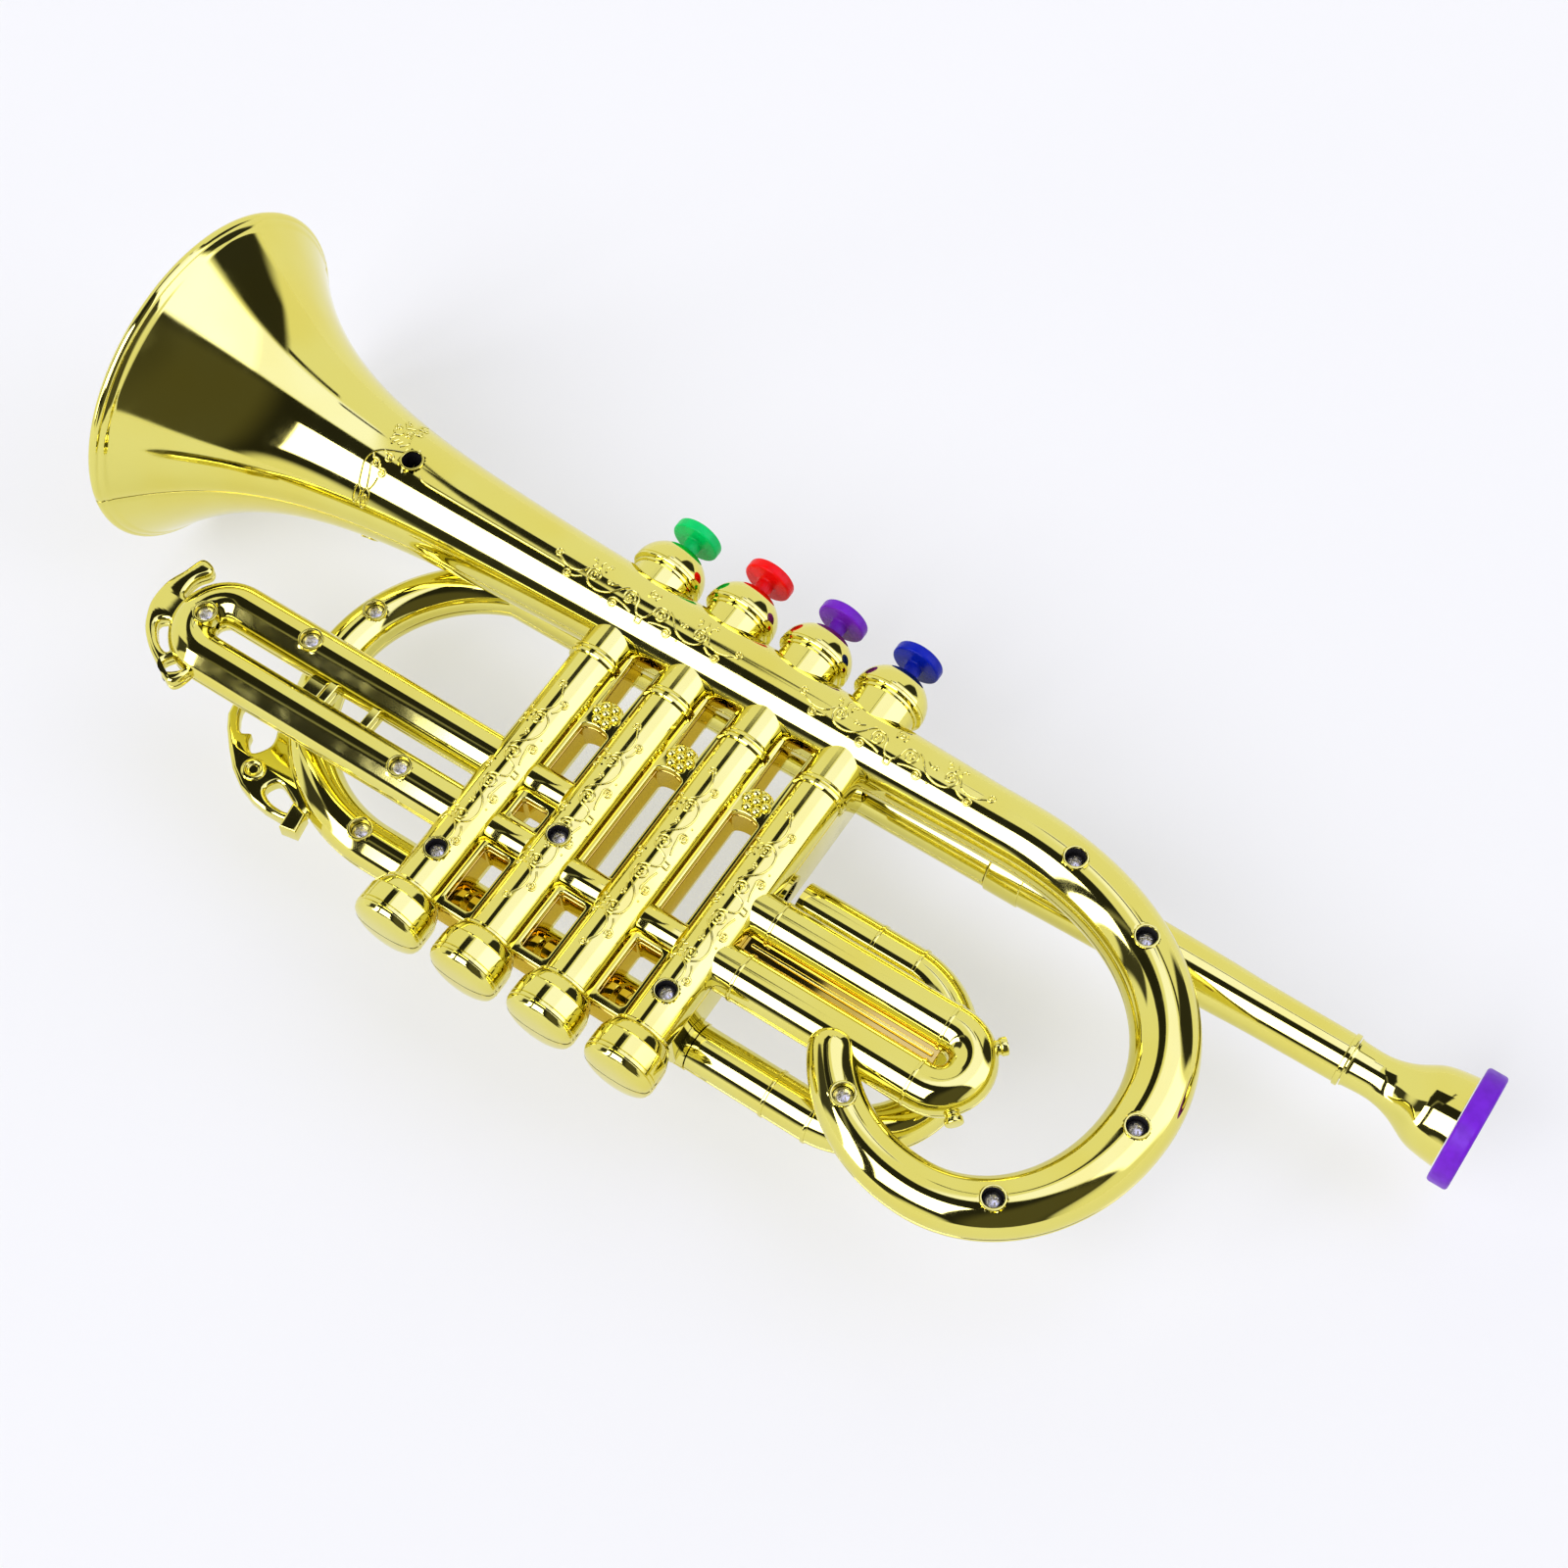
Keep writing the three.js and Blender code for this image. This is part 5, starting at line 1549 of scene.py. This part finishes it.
def curl(x: float, y: float, radius: float, start: float, turns: float) -> Array:
    """A spiral inwards: centre + r (cos a, sin a), a going through the turns while r falls to a quarter.

    Args:
        x: the centre, along.
        y: the centre, across.
        radius: reach at the start.
        start: angle at the start.
        turns: how far it goes round, in turns.

    Returns:
        The points of the spiral.
    """
    share = np.linspace(0.0, 1.0, int(abs(turns) * 20) + 2)
    angle, reach = start + 2.0 * np.pi * turns * share, radius * (1.0 - 0.75 * share)
    return np.stack([x + reach * np.cos(angle), y + reach * np.sin(angle)], -1)


def strands(table: Sequence[tuple]) -> list[Array]:
    """Draws lines.

    Args:
        table: for each line its points, and the values of the curl that it runs on into, if any.

    Returns:
        A smooth line for each row.
    """
    lines = []
    for points, *values in table:
        spirals = [curl(*value) for value in values]
        line = smooth_line([*points, *(tuple(spiral[0]) for spiral in spirals)], 5)
        lines.append(np.vstack([line, *(spiral[1:] for spiral in spirals)]))
    return lines


def oval(x: float, y: float, wide: float, tall: float) -> Array:
    """A closed ellipse that ends where it starts."""
    angle = np.linspace(0.0, 2.0 * np.pi, 21)
    return np.stack([x + wide * np.cos(angle), y + tall * np.sin(angle)], -1)


@dataclass
class Scrolls(Assembly):
    """Fine raised scrollwork on the neck, along the tube and down every casing."""

    brass: Brasswork
    casings: Casings
    width: float = 0.32
    height: float = 0.38
    sunk: float = 0.12
    dot: float = 0.36
    tube_middles: Point = (149.0, 225.3)
    tube_turns: Point = (-6.0, -1.0)
    casing_middle: float = -58.6
    neck: float = 65.0
    line_turn: float = -13.5
    line_ends: Point = (76.6, 124.2)

    def vine(self) -> Drawing:
        """The vine about its middle, as lines and dots at (along, across): one half, then it mirrored.

        Returns:
            The lines and the dots.
        """
        half = strands([
            ([(0.6, -3.1), (1.6, -2.5), (2.3, -1.2)], (4.9, 0.0, 2.4, np.pi, -1.7)),
            ([(6.6, 2.3), (7.8, 1.4), (9.2, -0.4), (11.2, -2.1), (14.0, -2.9), (16.8, -2.4), (18.3, -0.9)],
             (16.6, 0.5, 2.0, -0.2, 1.6)),
            ([(19.0, 1.4), (20.2, -0.3), (22.6, -1.1), (25.2, -0.8), (27.4, 0.2)],
             (28.2, 1.3, 1.2, -1.9, 1.3)),
            ([(19.4, -1.6), (20.9, -2.5)], (23.4, -2.7, 1.25, np.pi, 1.5)),
            ([(2.9, -3.4), (4.8, -2.8), (6.6, -2.5)], (8.4, -3.6, 1.45, 2.0, -1.5)),
            ([(14.6, 2.7), (15.2, 3.7), (14.8, 4.6)], (14.2, 4.9, 0.55, 0.0, 1.0)),
            ([(16.6, 2.9), (16.9, 4.2), (16.5, 5.4)],),
            ([(18.4, 2.4), (18.2, 3.6), (18.7, 4.4)], (19.3, 4.8, 0.55, np.pi, -1.0)),
            ([(1.1, 3.0), (1.5, 4.4), (1.1, 5.6)],),
            ([(9.6, 1.4), (11.0, 0.5)], (12.0, 0.9, 0.7, np.pi, 1.2)),
        ])
        dots = [(4.9, 0.0), (16.6, 0.5), (8.4, -3.6), (23.4, -2.7), (28.2, 1.3), (11.9, -3.9)]
        mirror = np.array([-1.0, 1.0])
        square = rectangle(-0.8, 0.8, -5.0, -3.0, 0.35)
        small = rectangle(-0.5, 0.5, 3.6, 4.8, 0.25)
        rings = [np.vstack([loop, loop[:1]]) for loop in (square, small)]
        return half + [line * mirror for line in half] + rings, dots + [(-x, y) for x, y in dots]

    def garland(self) -> Drawing:
        """The garland round the neck: curls above, a long stem, and two loops at its foot.

        Returns:
            The lines and the dots.
        """
        lines = strands([
            ([(3.8, 0.7), (1.2, -0.6), (-1.4, -2.2), (-3.2, -4.6), (-3.6, -7.2), (-3.0, -9.8),
              (-2.2, -13.2)],),
            ([(-0.8, -1.4), (0.2, -2.0)], (1.6, -2.9, 1.4, 2.4, -1.5)),
            ([(-2.6, -4.0), (-2.0, -4.9)], (-0.9, -5.9, 1.3, 2.4, -1.5)),
            ([(0.5, -5.6), (0.9, -6.4)], (2.1, -7.5, 1.3, 2.4, -1.5)),
            ([(-1.6, -7.0), (-0.6, -9.8), (0.2, -13.0)],),
            ([(1.8, -9.0), (1.6, -11.0), (0.9, -13.2)],),
            ([(-0.4, 1.0), (-1.8, 3.4), (-0.2, 5.2), (-0.9, 8.0), (0.9, 10.2), (0.4, 12.6),
              (1.6, 15.2)],),
            ([(-1.6, 2.0), (-1.0, 3.2)],),
            ([(-0.3, 1.9), (0.3, 3.2)],),
            ([(1.0, 1.9), (1.6, 3.2)],),
            ([(2.0, 1.6), (3.2, 3.4), (2.6, 5.0)], (1.2, 6.2, 1.15, 0.3, 1.4)),
            ([(-1.2, 4.2), (-2.6, 5.0)], (-2.4, 7.1, 1.1, -1.6, -1.4)),
            ([(-0.6, 8.4), (-1.4, 9.0)], (-1.5, 10.6, 1.05, -1.6, -1.4)),
            ([(0.9, 8.2), (2.2, 8.0)], (2.7, 9.4, 1.1, -1.6, 1.4)),
            ([(1.0, 11.2), (2.0, 11.6)], (2.2, 12.9, 0.95, -1.6, 1.3)),
            ([(3.8, 0.7), (5.2, 1.4), (6.6, 2.6)],),
            ([(3.8, 0.7), (5.0, -0.7), (6.4, -2.2)],),
        ])
        ovals = [oval(-2.0, -16.0, 0.8, 2.7), oval(0.5, -16.0, 1.0, 3.0), oval(0.5, -16.4, 0.35, 1.3)]
        dots = [(1.6, -2.9), (-0.9, -5.9), (2.1, -7.5), (1.2, 6.2), (-2.4, 7.1), (2.7, 9.4)]
        return lines + ovals, dots

    def round_tube(self, middle: float, turn: float, side: Side) -> Lay:
        """How a drawing is laid round the tube.

        Args:
            middle: place along the tube of the drawing's middle.
            turn: degrees from the front to the drawing's middle.
            side: half of the tube that it lies on.

        Returns:
            A function from (along, across) and height to places: a height h above the radius r at x, at the
            angle of the turn plus across / r.
        """
        def lay(flat: Array, rise: Array) -> Array:
            """Places on the tube for points of the flat drawing, raised by their heights."""
            x = middle + flat[..., 0]
            radius = self.brass.radius(x)
            angle = math.radians(turn) + flat[..., 1] / radius
            out = radius + rise
            return np.stack([x, out * np.sin(angle), side.value * out * np.cos(angle)], -1)
        return lay

    def round_casing(self, i: int) -> Lay:
        """How a drawing is laid on a casing: along runs down it, across runs toward the bell.

        Args:
            i: number of the casing.

        Returns:
            A function from (along, across) and height to places.
        """
        def lay(flat: Array, rise: Array) -> Array:
            """Places on the casing for points of the flat drawing, raised by their heights."""
            out = self.casings.radius + rise
            angle = -flat[..., 1] / self.casings.radius
            return np.stack([self.casings.x(i) + out * np.sin(angle), self.casing_middle - flat[..., 0],
                             self.casings.axis + out * np.cos(angle)], -1)
        return lay

    def relief(self, surface: Surface, line: Array, lay: Lay, clear: Sequence[Point]) -> None:
        """Raises a line: a low round ridge, whose section is carried along it, with closed ends.

        Args:
            surface: where the points go.
            line: the line, as (along, across).
            lay: how the drawing is laid on the piece.
            clear: screws that the line stops short of.
        """
        place = lay(line, np.zeros(len(line)))
        keep = np.ones(len(line), bool)
        for x, y in clear:
            keep &= np.hypot(place[:, 0] - x, place[:, 1] - y) > BOSS - 0.2
        wide = self.width * np.array([-1.0, -0.85, -0.4, 0.4, 0.85, 1.0])
        shoulder = 0.4 * self.height
        rise = np.array([-self.sunk, shoulder, self.height, self.height, shoulder, -self.sunk])
        along = np.gradient(line, axis=0)
        along /= np.maximum(np.linalg.norm(along, axis=1, keepdims=True), 1e-9)
        normal = np.stack([-along[:, 1], along[:, 0]], -1)
        flat = line[:, None] + normal[:, None] * wide[None, :, None]
        points = lay(flat, np.broadcast_to(rise, flat.shape[:2]))
        for part in np.split(np.arange(len(line)), np.flatnonzero(np.diff(keep)) + 1):
            if len(part) > 2 and keep[part[0]]:
                surface.grid(points[part])
                surface.cap(points[part[0]])
                surface.cap(points[part[-1]])

    def lay_all(self, surface: Surface, drawing: Drawing, lay: Lay, clear: Sequence[Point] = ()) -> None:
        """Raises every line and dot of a drawing.

        Args:
            surface: where the points go.
            drawing: its lines and dots.
            lay: how the drawing is laid on the piece.
            clear: screws that it stops short of.
        """
        lines, dots = drawing
        for line in lines:
            self.relief(surface, line, lay, clear)
        for place in lay(np.array(dots), np.zeros(len(dots))):
            if all(math.hypot(place[0] - x, place[1] - y) > BOSS for x, y in clear):
                surface.grid(ball(place, self.dot, 10))

    def build(self) -> None:
        """Builds the scrollwork of the neck, the tube and the casings."""
        neck, tube, casings = Surface(), Surface(), Surface()
        holes = [(x, y) for x, y, *_ in self.brass.screws()]
        for side in Side:
            clear = holes if side is Side.FRONT else ()
            self.lay_all(neck, self.garland(), self.round_tube(self.neck, 0.0, side), clear)
            for middle, turn in zip(self.tube_middles, self.tube_turns):
                self.lay_all(tube, self.vine(), self.round_tube(middle, turn, side))
            first, last = self.line_ends
            ends = [(first, 1.2), (first + 1.4, 0.3), (first + 4.0, 0.0)]
            line = smooth_line([*ends, *((x, 0.0) for x in np.linspace(first + 8.0, last, 12))], 6)
            self.relief(tube, line, self.round_tube(0.0, self.line_turn, side), clear)
        holes = [(x, y) for x, y, *_ in self.casings.screws()]
        for i in range(VALVES):
            self.lay_all(casings, self.vine(), self.round_casing(i), holes)
        self.show(neck, "neck_scrolls", sharp=60.0)
        self.show(tube, "tube_scrolls", sharp=60.0)
        self.show(casings, "casing_scrolls", sharp=60.0)


@dataclass
class HiddenWorks:
    """Pads, reeds and their block keep their solids and get their finish."""

    finishes: Finishes

    def build(self) -> None:
        """Gives each kept solid its material."""
        kept = {"reed_block": "block_plastic"}
        for i in range(1, VALVES + 1):
            kept.update({f"key_pad_{i}": "pad_rubber", f"reed_{i}": "reed_brass"})
        for node, slot in kept.items():
            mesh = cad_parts[node].data
            mesh.materials.clear()
            mesh.materials.append(self.finishes.by_slot[slot])
        LOG.info("hidden works: %d solids dressed", len(kept))


# Studio


@dataclass
class Patch:
    """A patch of the studio overhead, bounded by the level parts of its directions, with its light."""

    left: float
    right: float
    foot: float
    top: float
    light: Colour
    soft: float = 0.02
    lean: float = 0.0


@dataclass
class Studio:
    """Pale floor, soft light and the camera, whose place and turn were worked out from the photograph."""

    walls: Colour = (0.95, 0.95, 0.95)
    patches: tuple[Patch, ...] = (
        Patch(-0.6, 0.86, -0.97, 0.03, (0.02, 0.02, 0.02)),
        Patch(0.34, 0.86, -0.97, -0.02, (0.09, 0.085, 0.06), 0.1),
        Patch(-0.37, -0.34, -0.34, 0.06, (0.3, 0.3, 0.28), 0.02, 0.27),
        Patch(-0.15, 0.50, 0.05, 0.6, (1.25, 1.3, 2.5), 0.03),
        Patch(0.48, 0.94, 0.04, 0.58, (2.2, 2.2, 3.4), 0.03),
        Patch(0.30, 0.72, 0.62, 0.93, (0.03, 0.03, 0.03), 0.03),
        Patch(0.0, 0.3, 0.64, 0.69, (0.03, 0.03, 0.03), 0.012),
        Patch(-0.16, 0.0, 0.53, 0.57, (0.03, 0.03, 0.03), 0.012),
        Patch(-0.37, -0.35, 0.36, 0.56, (0.03, 0.03, 0.03), 0.008, 0.24),
        Patch(-0.6, -0.325, 0.0, 0.4, (0.02, 0.02, 0.02), 0.012, 0.24),
        Patch(-0.85, -0.6, -0.6, -0.2, (0.05, 0.05, 0.05), 0.03),
        Patch(-0.372, 0.16, -0.88, -0.37, (5.5, 5.5, 7.4), 0.01),
        Patch(-0.62, -0.458, -0.88, -0.37, (5.5, 5.5, 7.4), 0.006),
        Patch(-0.62, -0.2, -0.96, -0.885, (0.03, 0.03, 0.03), 0.01),
    )
    table: float = 0.5
    floor_tints: tuple[Colour, Colour] = ((0.37, 0.37, 0.30), (0.35, 0.35, 0.285))
    floor_half: float = 4.0
    focal_pixels: float = 2841.265
    frame_pixels: float = 1600.0
    turn: tuple[float, float, float] = (2.53225942, 0.755485139, -0.199002635)
    place: tuple[float, float, float] = (392.495, -297.662, 632.789)
    middle: Point = (819.153, 724.785)

    def sky(self) -> None:
        """Lights the scene from all round: even walls, with brighter and darker patches by direction."""
        world = bpy.data.worlds.new("studio")
        bpy.context.scene.world = world
        world.use_nodes = True
        nodes = Nodes(world.node_tree)
        x, y, z = nodes.add("ShaderNodeSeparateXYZ", {0: nodes.place("Generated")}).outputs
        above = nodes.step(z, 0.0, 0.05)
        light: Colour | bpy.types.NodeSocket = self.walls
        for patch in self.patches:
            mask = above
            level = nodes.math("MULTIPLY_ADD", y, -patch.lean, x) if patch.lean else x
            for axis, low, high in ((level, patch.left, patch.right), (y, patch.foot, patch.top)):
                rising = nodes.step(axis, low - patch.soft, low + patch.soft)
                falling = nodes.step(axis, high - patch.soft, high + patch.soft, 1.0, 0.0)
                mask = nodes.math("MULTIPLY", nodes.math("MULTIPLY", mask, rising), falling)
            light = nodes.blend(mask, light, patch.light)
        nodes.feed(world.node_tree.nodes["Background"], {"Color": light, "Strength": 1.0})

    def floor(self) -> None:
        """Lays a wide pale floor, a table lit from below, under the object."""
        material, nodes, shader = new_material("pale_floor")
        tint = nodes.blend(nodes.noise(nodes.place(), 3.0), *self.floor_tints)
        nodes.feed(shader, {"Base Color": tint, "Roughness": 0.9, "Emission Color": (1.0, 1.0, 1.0, 1.0),
                            "Emission Strength": self.table})
        mesh = bpy.data.meshes.new("floor")
        half = self.floor_half
        mesh.from_pydata([(-half, -half, 0), (half, -half, 0), (half, half, 0), (-half, half, 0)], [],
                         [(0, 1, 2, 3)])
        mesh.materials.append(material)
        floor = bpy.data.objects.new("floor", mesh)
        bpy.context.scene.collection.objects.link(floor)

    def camera(self) -> None:
        """Sets the camera where the photograph was taken from."""
        data = bpy.data.cameras.new("camera")
        data.sensor_width = 36.0
        data.lens = self.focal_pixels * data.sensor_width / self.frame_pixels
        data.shift_x = (self.frame_pixels / 2.0 - self.middle[0]) / self.frame_pixels
        data.shift_y = (self.middle[1] - self.frame_pixels / 2.0) / self.frame_pixels
        data.clip_start, data.clip_end = 0.01, 50.0
        camera = bpy.data.objects.new("camera", data)
        axis = Vector(self.turn)
        right, down, ahead = Quaternion(axis.normalized(), axis.length).to_matrix()
        turn = Matrix((right, -down, -ahead)).transposed().to_4x4()
        at = (np.array(self.place) + SHIFT) / METRE
        camera.matrix_world = Matrix.Translation(Vector(at)) @ turn
        bpy.context.scene.collection.objects.link(camera)
        bpy.context.scene.camera = camera
        bpy.context.scene.view_settings.view_transform = "Standard"

    def build(self) -> None:
        """Builds the studio."""
        self.sky()
        self.floor()
        self.camera()


def main() -> None:
    logging.basicConfig(level=logging.INFO, format="%(name)s %(message)s")
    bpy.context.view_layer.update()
    finishes = Finishes()
    brass, casings = Brasswork(finishes), Casings(finishes)
    left, rear = LeftSlide(finishes), RearPipe(finishes)
    for assembly in (brass, casings, left, RightSlide(finishes), rear, ArcBrace(finishes), Mouth(finishes),
                     Keys(finishes, brass), Scrolls(finishes, brass, casings)):
        assembly.build()
    Screws(finishes).build([*brass.screws(), *casings.screws(), *left.screws(), *rear.screws()])
    HiddenWorks(finishes).build()
    Studio().build()


if __name__ == "__main__":
    main()
